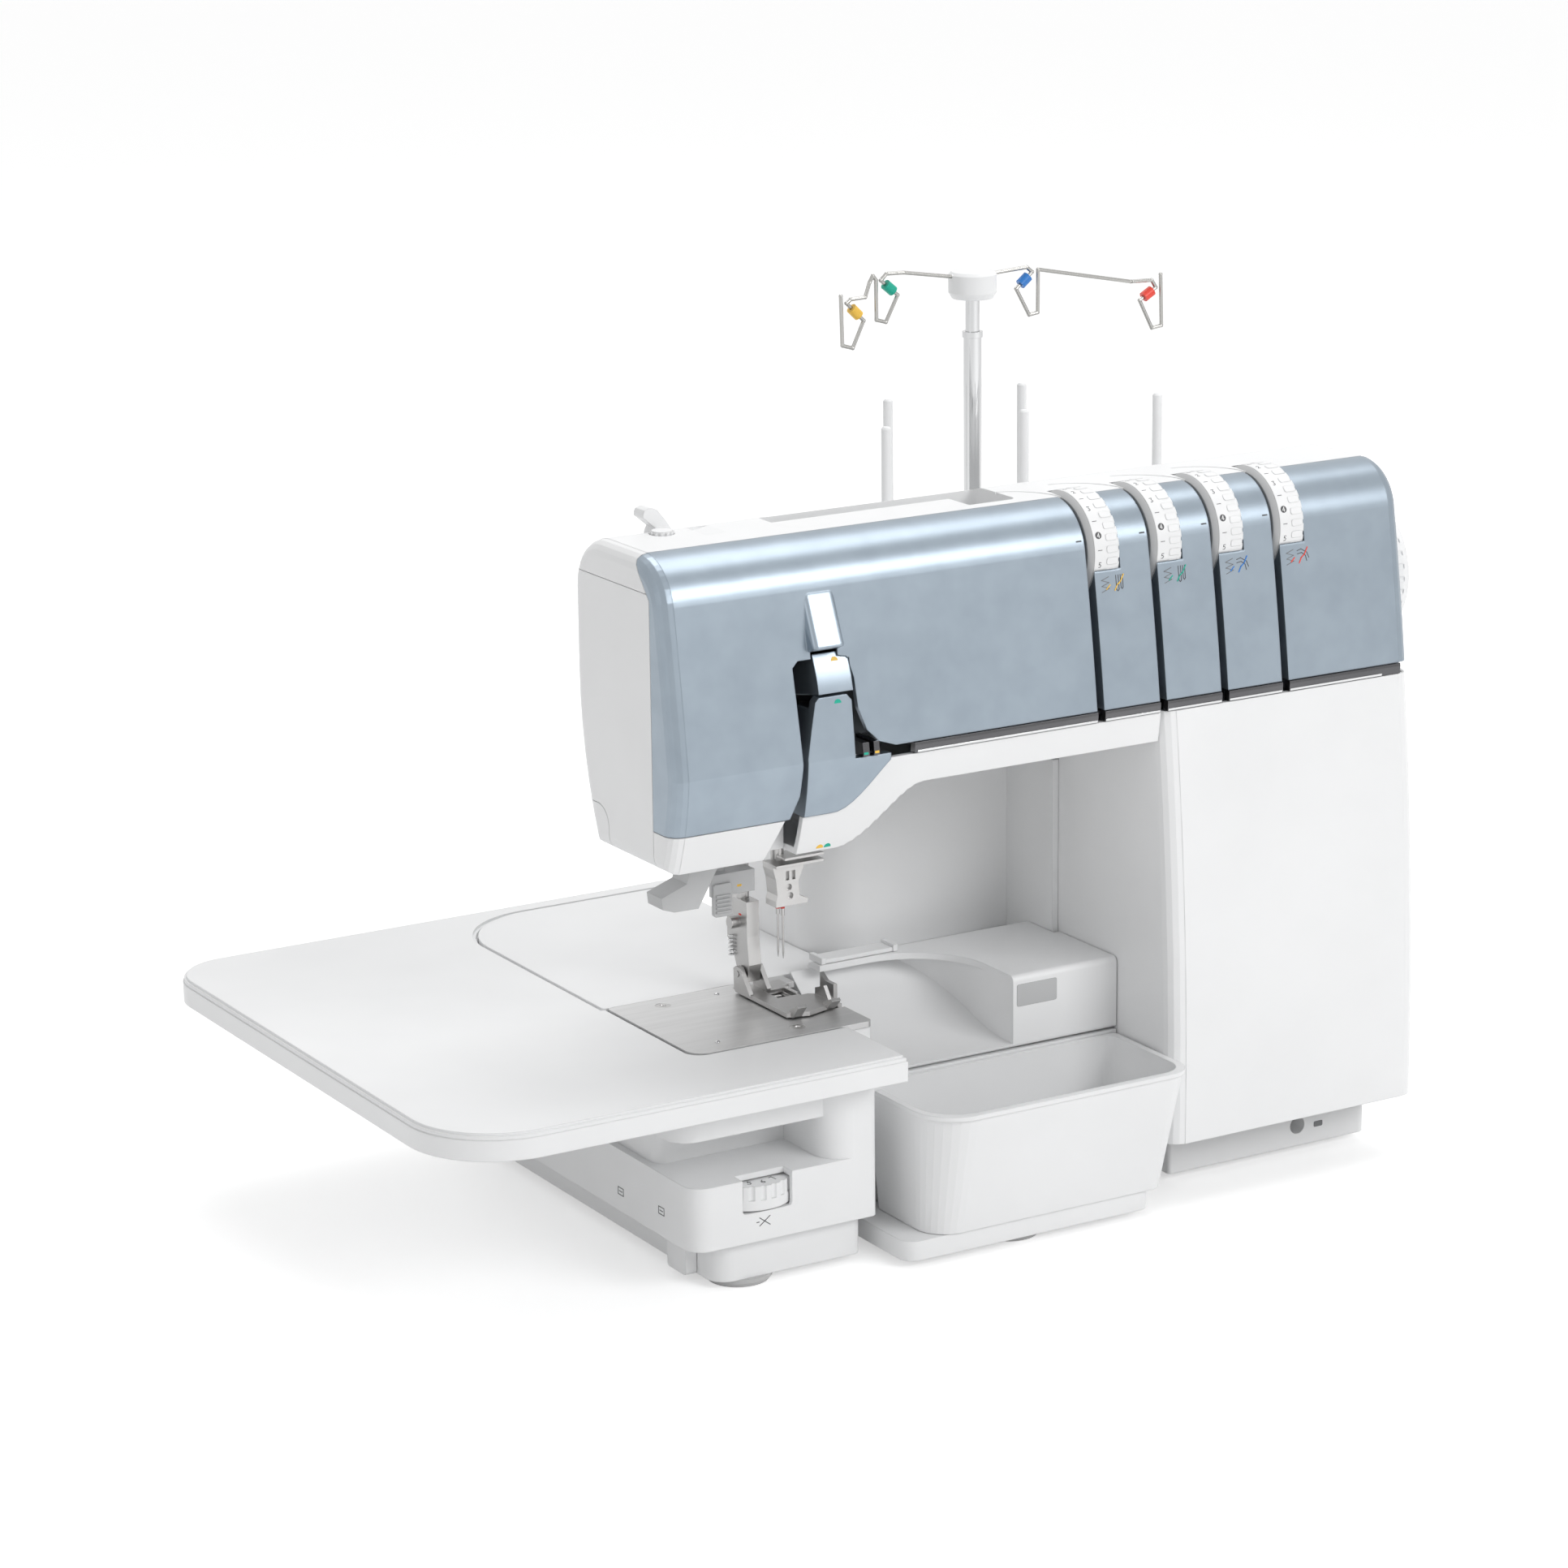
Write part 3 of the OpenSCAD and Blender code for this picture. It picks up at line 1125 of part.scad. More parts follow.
// The bends are balls a little thicker than the wire.
module wire(points) for (i = [0:len(points) - 1]) {
    translate(stand(points[i])) sphere(d = wire_d + knuckle, $fn = 16);
    if (i > 0) bar(stand(points[i - 1]), stand(points[i]), wire_d, $fn = 16);
}
left_wire = [[-8, 11], [-41, 16.3], [-51, 16.6], [-54.4, 13.6], [-44.5, 5.4], [-51.5, -7.6], [-57, -6],
    [-57.2, 14], [-59, 16.4], [-61, 13], [-63.5, 6], [-72, 5.7], [-74.5, 4], [-64.5, -5.6], [-71, -18.8],
    [-77, -17], [-77.7, 7.8]];
right_wire = [[8, 11], [32.7, 12.5], [36, 9.8], [26.3, 2], [34.2, -12], [39.5, -11.3], [39.6, 10.7],
    [96.8, -0.7], [110, -1.1], [112.6, -5.1], [102.5, -10.9], [110.3, -26], [116.4, -25.3], [115.6, 1.4]];
module guide_arm() color(steel) place() {
    difference() {
        union() {
            translate([mast_x, mast_y, hub_bottom]) cylinder(d1 = 21, d2 = 24.5, h = 3);
            translate([mast_x, mast_y, hub_bottom + 3]) cylinder(d = 24.5, h = hub_h - 4.5);
            translate([mast_x, mast_y, hub_bottom + hub_h - 1.5]) cylinder(d1 = 24.5, d2 = 21.5, h = 1.5);
            wire(left_wire);
            wire(right_wire);
        }
        rod_z(mast_x, mast_y, [hub_bottom - 1, hub_bottom + 3 + e], mast_rod_d + 0.1);
    }
}
bead_spans = [[left_wire[3], left_wire[4]], [left_wire[12], left_wire[13]], [right_wire[2], right_wire[3]],
    [right_wire[9], right_wire[10]]];
module guide_beads() color("orange") place() for (s = bead_spans) difference() {
    m = (stand(s[0]) + stand(s[1])) / 2;
    u = (stand(s[1]) - stand(s[0])) / norm(stand(s[1]) - stand(s[0]));
    bar(m - 3 * u, m + 3 * u, 5.4);
    bar(m - 5 * u, m + 5 * u, wire_d + 0.1);
}

// ---- needle bar, presser bar and foot ----
presser_x = 33;
presser_y = 101;
clamp_bottom = needle_tip + 27.2;
module needle_bar() color(steel) place() difference() {
    union() {
        rod_z(needle_x, needle_y, [clamp_bottom + 2, 312], needle_bar_d);
        translate([needle_x, 0, clamp_bottom]) along_y(needle_y - 6.5, needle_y + 3.5)
            polygon([[-4.6, 0], [13, 0],
            [13.4, 2.2], [8.8, 4.4], [8.2, 12], [11.2, 19], [11.2, 21], [-6, 21], [-6, 19], [-4.6, 14],
                [-3.8, 6],
            [-4.6, 3]]);
        translate([needle_x - 7, needle_y - 11, clamp_bottom + 21 - e]) cube([27, 13, 1.4]);
        translate([needle_x - 2, needle_y - 11, clamp_bottom + 24.4]) cube([22, 13, 1.2]);
        translate([needle_x - 1, needle_y - 3, clamp_bottom + 22]) cube([4, 4, 3]);
    }
    // Two slots and two set screw holes in the front.
    for (x = [1, 4.4]) translate([needle_x + x, needle_y - 7, clamp_bottom + 13]) cube([1.9, 2, 4.6]);
    for (p = [[2.6, 9.4], [3.4, 5]]) translate([needle_x + p[0], needle_y - 5, clamp_bottom + p[1]])
        rotate([90, 0, 0])
        cylinder(d = 3.4, h = 4);
    rod_z(needle_x, needle_y, [clamp_bottom - 1, clamp_bottom + 12], 2.1);
    rod_z(needle_x + 2, needle_y - 1.5, [clamp_bottom - 1, clamp_bottom + 12], 2.1);
}
module needles() color(steel) place() for (i = [0:1]) translate([needle_x + 2 * i, needle_y - 1.5 * i,
    -0.8 * i]) union() {
    rod_z(0, 0, [needle_tip + 22, clamp_bottom + 11], 1.9);
    rod_z(0, 0, [needle_tip + 3, needle_tip + 22], 1);
    translate([0, 0, needle_tip]) cylinder(d1 = 0.2, d2 = 1, h = 3);
}
ankle = [96, 121];
ankle_d = 3;
module presser_bar() color(steel) place() difference() {
    union() {
        rod_z(presser_x, presser_y, [150, rear_top - 3 - presser_lift - 2], presser_bar_d);
        along_x(presser_x - 3.5, presser_x + 3.5) polygon([[91.6, 158], [91.6, 140], [90, 126], [92, 117],
            [99, 117],
            [103, 125], [106, 132], [110.8, 136], [110.8, 158]]);
        rod_x([presser_x - 7, presser_x + 7], ankle[0], ankle[1], ankle_d);
        rod_x([presser_x - 8, presser_x + 6], 101, 146, 6);
    }
    block([presser_x - 0.9, presser_x + 4], [98, 106], [134, 139]);
}
module presser_foot() color(steel) place() difference() {
    union() {
        along_z(bed_top + 0.7, bed_top + 2.9) polygon([[27, 50], [38, 47], [58, 53], [60, 66], [52, 72],
            [52, 99.5], [27, 99.5]]);
        for (x = [presser_x - 6.6, presser_x + 4.2]) along_x(x, x + 2.4) polygon([[84, bed_top + 2],
            [99.5, bed_top + 2], [100, ankle[1] + 2], [98, ankle[1] + 3.4], [94, ankle[1] + 3.4]]);
        // Turned-up toes.
        along_x(29, 34) polygon([[48, bed_top + 0.7], [52, bed_top + 2.9], [44, bed_top + 8],
            [42.6, bed_top + 7]]);
        along_x(50, 55) polygon([[51, bed_top + 0.7], [55, bed_top + 2.9], [47, bed_top + 7],
            [45.6, bed_top + 6]]);
        along_x(55, 57) polygon([[56, bed_top + 1], [70, bed_top + 1], [70, bed_top + 6], [62, bed_top + 9]]);
    }
    rod_x([presser_x - 10, presser_x + 10], ankle[0], ankle[1], ankle_d + 2 * shaft_play);
    block([36, 47], [73.5, 86.5], [bed_top, bed_top + 4]);
    block([48, 70], [72, 90], [bed_top, bed_top + 12]);
}
// Two finger levers below the head: the threader's ribbed pad and the wedge to its left.
threader_x = [0, 24];
module needle_threader() color(white) place() {
    union() {
        block(threader_x, [74, 86], [176, 180.5]);
        block(threader_x, [74, 76.4], [169.5, 180]);
        along_y(72.6, 75) arc_pad([0.5, 10.5], [159.6, 176], [1.5, 1.5, 1, 1]);
        for (i = [0:4]) block([1.6, 9.4], [71.8, 73], [161.6 + 2 * i, 162.6 + 2 * i]);
        rod_z(7.5, 81, [178, head_bottom - e], 7);
    }
    along_y(43, 57) polygon([[-45, 184], [-44.4, 178.4], [-38, 176.2], [-25, 176], [-12, 198],
        [-12, head_bottom - e],
        [-27, head_bottom - e], [-31, 189]]);
}

base_pan();
rubber_feet();
side_clip();
base_casing();
front_panel();
bed_cover();
slide_table();
waste_tray();
needle_plate();
looper_cover();
cover_slider();
width_dial();
feed_dogs();
upper_looper();
lower_looper();
upper_knife();
lower_knife();
arm_frame();
front_cover();
tension_cover_1();
tension_cover_2();
tension_cover_3();
tension_cover_4();
tension_dial_1();
tension_dial_2();
tension_dial_3();
tension_dial_4();
top_cover();
carry_handle();
rear_cover();
head_side_cover();
light_door();
chin_cover();
arm_floor();
take_up_lever();
take_up_guard();
thread_guides();
trim_strip();
pressure_dial();
lifter_lever();
tower_casing();
rear_casing();
drive_motor();
main_shaft();
handwheel();
power_switch();
socket_panel();
stitch_length_dial();
differential_dial();
spool_platform();
spool_pins();
mast_tube();
mast_rod();
guide_arm();
guide_beads();
needle_bar();
needles();
presser_bar();
presser_foot();
needle_threader();
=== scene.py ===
# %% [markdown]
# # A four thread serger
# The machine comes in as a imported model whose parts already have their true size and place.
# This notebook gives every part its finish, adds the small things that a drawing of the
# construction leaves out, and sets up a plain studio. Lengths are in metres.

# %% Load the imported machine
import json
import math

import bmesh
import bpy
from mathutils import Matrix, Vector
from mathutils.bvhtree import BVHTree


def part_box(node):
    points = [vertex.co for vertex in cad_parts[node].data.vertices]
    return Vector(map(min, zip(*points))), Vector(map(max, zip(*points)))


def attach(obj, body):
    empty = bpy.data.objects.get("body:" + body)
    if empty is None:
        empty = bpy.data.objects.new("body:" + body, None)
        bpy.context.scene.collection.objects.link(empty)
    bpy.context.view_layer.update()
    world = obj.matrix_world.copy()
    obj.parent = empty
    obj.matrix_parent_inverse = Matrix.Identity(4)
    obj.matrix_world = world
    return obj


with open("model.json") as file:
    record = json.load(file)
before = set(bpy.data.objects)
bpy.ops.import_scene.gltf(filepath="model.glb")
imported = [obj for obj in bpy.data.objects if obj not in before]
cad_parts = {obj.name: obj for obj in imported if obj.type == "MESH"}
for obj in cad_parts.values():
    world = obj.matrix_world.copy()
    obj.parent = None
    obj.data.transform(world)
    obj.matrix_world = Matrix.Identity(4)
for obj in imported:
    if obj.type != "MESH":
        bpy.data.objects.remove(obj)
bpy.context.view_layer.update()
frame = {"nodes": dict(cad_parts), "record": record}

# %% [markdown]
# ## One point to measure from
# Every extra piece is placed in millimetres from the front left foot of the base. The needle
# plate's corner is a part with a known place there, so the shift to the model's own origin comes
# from its box, and nothing has to be typed twice.

# %% Millimetres from the base corner
MM = 0.001
PLATE_CORNER = (-38, 26)
plate_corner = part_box("needle_plate")[0]
SHIFT = Vector((plate_corner[0] - PLATE_CORNER[0] * MM, plate_corner[1] - PLATE_CORNER[1] * MM, 0))


def at(x, y, z):
    return SHIFT + Vector((x, y, z)) * MM


print("machine corner sits at", [round(v, 4) for v in at(0, 0, 0)])

# %% [markdown]
# ## Camera
# The product is seen from its front left, a little above the work table, with a long lens so that
# the verticals stay nearly parallel. The three turns are written one after another: tilt, roll
# and heading.

# %% Camera
LENS_PIXELS, FRAME_PIXELS, SENSOR = 5746.4, 1932, 36
HEADING, TILT, ROLL = (math.radians(a) for a in (30.65, 15.14, 0.666))
CAMERA_PLACE = (-1066.2, -1794.7, 807.9)
camera_data = bpy.data.cameras.new("camera")
camera_data.sensor_width = SENSOR
camera_data.lens = LENS_PIXELS / FRAME_PIXELS * SENSOR
camera_data.clip_end = 60
camera = bpy.data.objects.new("camera", camera_data)
bpy.context.collection.objects.link(camera)
camera.matrix_world = (Matrix.Translation(at(*CAMERA_PLACE))
                       @ Matrix.Rotation(-HEADING, 4, "Z")
                       @ Matrix.Rotation(math.pi / 2 - TILT, 4, "X")
                       @ Matrix.Rotation(-ROLL, 4, "Z"))
bpy.context.scene.camera = camera
bpy.context.scene.view_settings.view_transform = "Standard"
print("lens", round(camera_data.lens, 1), "mm")

# %% [markdown]
# ## Floor and world
# A product on white needs a floor that reads as white and still takes a soft shadow. The floor is
# a pale diffuse sheet. Towards the camera, and in what gloss and clear parts mirror, it glows a
# little, which lifts it to white where it is lit and leaves the shadow under the machine. The
# world is treated the same way: white to look at, and only a mild light on the machine.

# %% Floor
FLOOR_SIZE = 40
FLOOR_GLOW = 0.46
FLOOR_COLOUR = (0.86, 0.86, 0.86, 1)
WHITE_LIGHT = (1, 1, 1, 1)


def node_material(name):
    material = bpy.data.materials.new(name)
    material.use_nodes = True
    tree = material.node_tree
    return material, tree.nodes, tree.links, tree.nodes["Principled BSDF"]


def seen_rays(nodes, links):
    rays = nodes.new("ShaderNodeLightPath")
    total = None
    for kind in ("Is Camera Ray", "Is Glossy Ray", "Is Transmission Ray"):
        if total is None:
            total = rays.outputs[kind]
            continue
        larger = nodes.new("ShaderNodeMath")
        larger.operation = "MAXIMUM"
        links.new(total, larger.inputs[0])
        links.new(rays.outputs[kind], larger.inputs[1])
        total = larger.outputs[0]
    return total


def spread(nodes, links, source, low, high):
    reach = nodes.new("ShaderNodeMapRange")
    reach.inputs["To Min"].default_value = low
    reach.inputs["To Max"].default_value = high
    links.new(source, reach.inputs["Value"])
    return reach.outputs["Result"]


def make_floor():
    mesh = bpy.data.meshes.new("floor")
    s = FLOOR_SIZE / 2
    mesh.from_pydata([(-s, -s, 0), (s, -s, 0), (s, s, 0), (-s, s, 0)], [], [(0, 1, 2, 3)])
    floor = bpy.data.objects.new("floor", mesh)
    bpy.context.collection.objects.link(floor)
    material, nodes, links, shader = node_material("studio_floor")
    shader.inputs["Base Color"].default_value = FLOOR_COLOUR
    shader.inputs["Roughness"].default_value = 0.6
    glow = nodes.new("ShaderNodeEmission")
    glow.inputs["Color"].default_value = WHITE_LIGHT
    links.new(spread(nodes, links, seen_rays(nodes, links), 0, FLOOR_GLOW), glow.inputs["Strength"])
    both = nodes.new("ShaderNodeAddShader")
    links.new(shader.outputs[0], both.inputs[0])
    links.new(glow.outputs[0], both.inputs[1])
    links.new(both.outputs[0], nodes["Material Output"].inputs["Surface"])
    mesh.materials.append(material)
    return floor


floor = make_floor()
print("floor", floor.dimensions[:2])

# %% World
WORLD_LIGHT = 0.50
world = bpy.data.worlds.new("studio")
bpy.context.scene.world = world
world.use_nodes = True
sky = world.node_tree.nodes["Background"]
sky.inputs["Color"].default_value = WHITE_LIGHT
world_links = world.node_tree.links
world_links.new(spread(world.node_tree.nodes, world_links, seen_rays(world.node_tree.nodes, world_links),
                       WORLD_LIGHT, 1.0), sky.inputs["Strength"])
print("world light", WORLD_LIGHT)

# %% [markdown]
# ## Lamps
# Three large soft boxes: a key from the right and in front, a wide one above, and a weak one at
# the left, so that the head's left side falls off to a light grey.

# %% Lamps
def soft_box(name, place, target, size, power):
    lamp = bpy.data.lights.new(name, "AREA")
    lamp.shape = "RECTANGLE"
    lamp.size, lamp.size_y = size
    lamp.energy = power
    lamp_object = bpy.data.objects.new(name, lamp)
    bpy.context.collection.objects.link(lamp_object)
    lamp_object.location = place
    lamp_object.rotation_euler = (Vector(target) - Vector(place)).to_track_quat("-Z", "Y").to_euler()
    return lamp_object


LAMP_TARGET = (0, 0, 0.2)
lamps = [soft_box("key_box", (1.1, -2.6, 1.7), LAMP_TARGET, size=(1.6, 1.0), power=34),
         soft_box("top_box", (0.5, 0.5, 2.3), LAMP_TARGET, size=(2.2, 1.2), power=24),
         soft_box("side_box", (-2.6, -0.9, 1.3), LAMP_TARGET, size=(1.0, 1.4), power=5)]
print("lamps:", [lamp.name for lamp in lamps])

# %% [markdown]
# ## Finishes
# Real surfaces are never one flat colour. Each finish starts from the shader's own colour and
# roughness, and noise measured in millimetres varies them a little: moulding grain for plastic,
# flakes for lacquer, drawn lines for ground steel. Moulded edges are never razor sharp, so a
# bevel node rounds what the light sees of them by a fraction of a millimetre.

# %% Helpers for finishes
RELIEF_DEPTH = 0.2 * MM
CLOUD_RATIO = 40


def noise_node(nodes, links, scale, detail=2, stretch=(1, 1, 1)):
    coordinates = nodes.new("ShaderNodeTexCoord")
    mapping = nodes.new("ShaderNodeMapping")
    mapping.inputs["Scale"].default_value = stretch
    noise = nodes.new("ShaderNodeTexNoise")
    noise.inputs["Scale"].default_value = scale
    noise.inputs["Detail"].default_value = detail
    links.new(coordinates.outputs["Object"], mapping.inputs["Vector"])
    links.new(mapping.outputs[0], noise.inputs["Vector"])
    return noise


def tint(nodes, links, source, dark, light):
    ramp = nodes.new("ShaderNodeValToRGB")
    ramp.color_ramp.elements[0].position = 0.3
    ramp.color_ramp.elements[1].position = 0.7
    ramp.color_ramp.elements[0].color = (*dark, 1)
    ramp.color_ramp.elements[1].color = (*light, 1)
    links.new(source, ramp.inputs["Fac"])
    return ramp.outputs["Color"]


def add_relief(nodes, links, source, shader, strength, edge=0.0):
    relief = nodes.new("ShaderNodeBump")
    relief.inputs["Strength"].default_value = strength
    relief.inputs["Distance"].default_value = RELIEF_DEPTH
    links.new(source, relief.inputs["Height"])
    if edge:
        bevel = nodes.new("ShaderNodeBevel")
        bevel.samples = 4
        bevel.inputs["Radius"].default_value = edge * MM
        links.new(bevel.outputs[0], relief.inputs["Normal"])
    links.new(relief.outputs[0], shader.inputs["Normal"])


def finish(name, dark, light, rough, metallic=0.0, grain=900, bump=0.05, stretch=(1, 1, 1), edge=0.0):
    material, nodes, links, shader = node_material(name)
    noise = noise_node(nodes, links, grain, 3, stretch)
    broad = noise_node(nodes, links, grain / CLOUD_RATIO, 2, stretch)
    links.new(tint(nodes, links, broad.outputs["Fac"], dark, light), shader.inputs["Base Color"])
    links.new(spread(nodes, links, noise.outputs["Fac"], rough[0], rough[1]), shader.inputs["Roughness"])
    shader.inputs["Metallic"].default_value = metallic
    add_relief(nodes, links, noise.outputs["Fac"], shader, bump, edge)
    return material


# %% Plastics and lacquer
PALE_PLASTIC, PALE_GLOSS = (0.87, 0.875, 0.88), (0.36, 0.44)
WHITE = finish("white_plastic", (0.86, 0.865, 0.87), (0.885, 0.89, 0.895), PALE_GLOSS,
               grain=700, bump=0.02, edge=0.7)
BLUE = finish("blue_lacquer", (0.285, 0.335, 0.385), (0.315, 0.368, 0.42), (0.27, 0.37),
              metallic=0.78, grain=2600, bump=0.10, edge=0.8)
DARK = finish("dark_plastic", (0.035, 0.037, 0.04), (0.05, 0.052, 0.056), (0.42, 0.55),
              grain=800, bump=0.06, edge=0.3)
GREY = finish("grey_lever_plastic", (0.50, 0.505, 0.51), (0.54, 0.545, 0.55), (0.4, 0.5),
              grain=700, bump=0.04, edge=0.5)
RUBBER = finish("foot_rubber", (0.50, 0.50, 0.50), (0.56, 0.56, 0.56), (0.6, 0.75),
                grain=500, bump=0.15, edge=0.5)
print("plastics:", [m.name for m in (WHITE, BLUE, DARK, GREY, RUBBER)])

# %% Metals
GRINDING_LINES = (1, 14, 1)
STEEL = finish("satin_steel", (0.42, 0.415, 0.41), (0.52, 0.515, 0.51), (0.26, 0.40),
               metallic=1.0, grain=500, edge=0.25)
PLATE = finish("ground_plate", (0.55, 0.55, 0.55), (0.60, 0.60, 0.60), (0.36, 0.44),
               metallic=0.9, stretch=GRINDING_LINES, edge=0.3)
CHROME = finish("chrome", (0.56, 0.565, 0.57), (0.62, 0.625, 0.63), (0.05, 0.10),
                metallic=1.0, grain=300, bump=0.01, edge=0.3)
ALLOY = finish("cast_alloy", (0.20, 0.22, 0.24), (0.27, 0.29, 0.31), (0.5, 0.65),
               metallic=0.6, grain=260, bump=0.2)
SMOKED = finish("smoked_chrome", (0.10, 0.10, 0.105), (0.13, 0.13, 0.135), (0.10, 0.18),
                metallic=0.9, grain=400, bump=0.02, edge=0.3)
print("metals:", [m.name for m in (STEEL, PLATE, CHROME, ALLOY, SMOKED)])

# %% Colours for prints and beads
YELLOW_DYE, GREEN_DYE = (0.86, 0.53, 0.07), (0.0, 0.40, 0.28)
BLUE_DYE, RED_DYE = (0.02, 0.19, 0.58), (0.82, 0.06, 0.035)
FINE_GRAIN = 1200


def ink(name, colour):
    lighter = tuple(min(1.0, c * 1.08 + 0.004) for c in colour)
    return finish(name, colour, lighter, (0.38, 0.48), grain=FINE_GRAIN, bump=0.03)


INK_DARK = ink("ink_dark", (0.06, 0.06, 0.065))
INK_GREY = ink("ink_grey", (0.16, 0.165, 0.17))
INK_WHITE = ink("ink_white", (0.85, 0.85, 0.85))
YELLOW = ink("yellow", YELLOW_DYE)
TEAL = ink("teal", GREEN_DYE)
SKY = ink("thread_blue", BLUE_DYE)
RED = ink("red", RED_DYE)
print("print colours ready")

# %% [markdown]
# ## One part, several colours
# The four beads on the thread guides are one part of the model, and so are the wire guides with
# their white plastic hub. The mesh stays as it is. A mask in the material picks the colour by the
# distance from the mast, so each bead and the hub get their own finish.

# %% Masked finishes
MAST_X = 205.7
HUB_REACH = 12.6
BEAD_REACH = 0.12
BEAD_BANDS = ((0.0, YELLOW_DYE), (0.25, GREEN_DYE), (0.5, BLUE_DYE), (0.78, RED_DYE))


def mast_distance(nodes, links):
    coordinates = nodes.new("ShaderNodeTexCoord")
    split = nodes.new("ShaderNodeSeparateXYZ")
    links.new(coordinates.outputs["Object"], split.inputs[0])
    offset = nodes.new("ShaderNodeMath")
    offset.operation = "SUBTRACT"
    links.new(split.outputs["X"], offset.inputs[0])
    offset.inputs[1].default_value = at(MAST_X, 0, 0).x
    return offset.outputs[0]


def bead_finish():
    material, nodes, links, shader = node_material("bead_plastic")
    across = spread(nodes, links, mast_distance(nodes, links), 0, 1)
    across.node.inputs["From Min"].default_value = -BEAD_REACH
    across.node.inputs["From Max"].default_value = BEAD_REACH
    ramp = nodes.new("ShaderNodeValToRGB")
    ramp.color_ramp.interpolation = "CONSTANT"
    while len(ramp.color_ramp.elements) < len(BEAD_BANDS):
        ramp.color_ramp.elements.new(0.5)
    for element, (place, colour) in zip(ramp.color_ramp.elements, BEAD_BANDS):
        element.position, element.color = place, (*colour, 1)
    links.new(across, ramp.inputs["Fac"])
    links.new(ramp.outputs["Color"], shader.inputs["Base Color"])
    grain = noise_node(nodes, links, FINE_GRAIN)
    links.new(spread(nodes, links, grain.outputs["Fac"], 0.3, 0.42), shader.inputs["Roughness"])
    add_relief(nodes, links, grain.outputs["Fac"], shader, 0.04)
    return material


def hub_and_wire_finish():
    material, nodes, links, shader = node_material("guide_hub_and_wire")
    size = nodes.new("ShaderNodeMath")
    size.operation = "ABSOLUTE"
    links.new(mast_distance(nodes, links), size.inputs[0])
    wire = nodes.new("ShaderNodeMath")
    wire.operation = "GREATER_THAN"
    wire.inputs[1].default_value = HUB_REACH * MM
    links.new(size.outputs[0], wire.inputs[0])
    links.new(wire.outputs[0], shader.inputs["Metallic"])
    colour = tint(nodes, links, wire.outputs[0], PALE_PLASTIC, (0.42, 0.415, 0.40))
    links.new(colour, shader.inputs["Base Color"])
    grain = noise_node(nodes, links, 700)
    gloss = nodes.new("ShaderNodeMath")
    gloss.operation = "MULTIPLY_ADD"
    links.new(wire.outputs[0], gloss.inputs[0])
    gloss.inputs[1].default_value = -0.2
    links.new(spread(nodes, links, grain.outputs["Fac"], *PALE_GLOSS), gloss.inputs[2])
    links.new(gloss.outputs[0], shader.inputs["Roughness"])
    add_relief(nodes, links, grain.outputs["Fac"], shader, 0.03, edge=0.5)
    return material


BEAD = bead_finish()
HUB = hub_and_wire_finish()
print("masked finishes:", BEAD.name, HUB.name)

# %% Put each finish on its parts
SLOT_FINISH = {"white_plastic": WHITE, "blue_metallic": BLUE, "satin_steel": STEEL, "chrome": CHROME,
               "cast_alloy": ALLOY, "dark_plastic": DARK, "soft_rubber": RUBBER, "bead_plastic": BEAD}
OWN_FINISH = {"guide_arm": HUB, "needle_plate": PLATE, "trim_strip": SMOKED, "thread_guides": SMOKED,
              "needle_threader": GREY}
part_slot = {part["node"]: part["material_slot"] for part in frame["record"]["subparts"]}
for name, part in frame["nodes"].items():
    part.data.materials.clear()
    part.data.materials.append(OWN_FINISH.get(name, SLOT_FINISH[part_slot[name]]))
print("dressed parts:", len(part_slot))

# %% [markdown]
# ## How the small pieces are made
# Prints, screws, springs and rims are built directly as meshes. Three helpers cover nearly all of
# them: a thin plate that follows the surface below it, a tube along a line of points, and a
# turned body. A print has to lie on a curved cover, so each of its points is dropped onto the
# part along a straight line, and the plate stands a tenth of a millimetre proud of that point.

# %% Drop points onto a part
DROP_HEIGHT = 30
surface_trees = {}


def tree_of(node):
    if node not in surface_trees:
        mesh = frame["nodes"][node].data
        surface_trees[node] = BVHTree.FromPolygons([corner.co for corner in mesh.vertices],
                                                   [face.vertices for face in mesh.polygons])
    return surface_trees[node]


def on_part(node, origin, across, up, towards):
    across, up, towards = (Vector(v).normalized() for v in (across, up, towards))

    def place(u, v):
        start = at(*(Vector(origin) + across * u + up * v - towards * DROP_HEIGHT))
        spot, normal, _, _ = tree_of(node).ray_cast(start, towards)
        if spot is None:
            spot, normal = start + towards * DROP_HEIGHT * MM, -towards
        return spot, normal if normal.dot(towards) < 0 else -normal
    return place


def on_front(node, x, z):
    return on_part(node, (x, 0, z), (1, 0, 0), (0, 0, 1), (0, 1, 0))


print("front of the last cover:", [round(c, 4) for c in on_front("tension_cover_4", 320, 300)(0, 0)[0]])

# %% Plates, strokes, tubes and turned bodies
PRINT_HEIGHT, OVERPRINT_HEIGHT, PRINT_SINK = 0.1, 0.16, 0.1
SHARP_ANGLE = 35


def add_plate(mesh, outline, place, height=PRINT_HEIGHT):
    spots = [place(u, v) for u, v in outline]
    low = [mesh.verts.new(spot - normal * PRINT_SINK * MM) for spot, normal in spots]
    high = [mesh.verts.new(spot + normal * height * MM) for spot, normal in spots]
    mesh.faces.new(high)
    mesh.faces.new(low[::-1])
    for i in range(len(spots)):
        j = (i + 1) % len(spots)
        mesh.faces.new((low[i], low[j], high[j], high[i]))


def add_strokes(mesh, lines, place, width, height=PRINT_HEIGHT):
    for line in lines:
        points = [Vector(point) for point in line]
        for start, end in zip(points, points[1:]):
            along = (end - start).normalized() * width / 2
            side = Vector((-along.y, along.x))
            corners = [start - along - side, end + along - side, end + along + side, start - along + side]
            add_plate(mesh, [tuple(c) for c in corners], place, height)


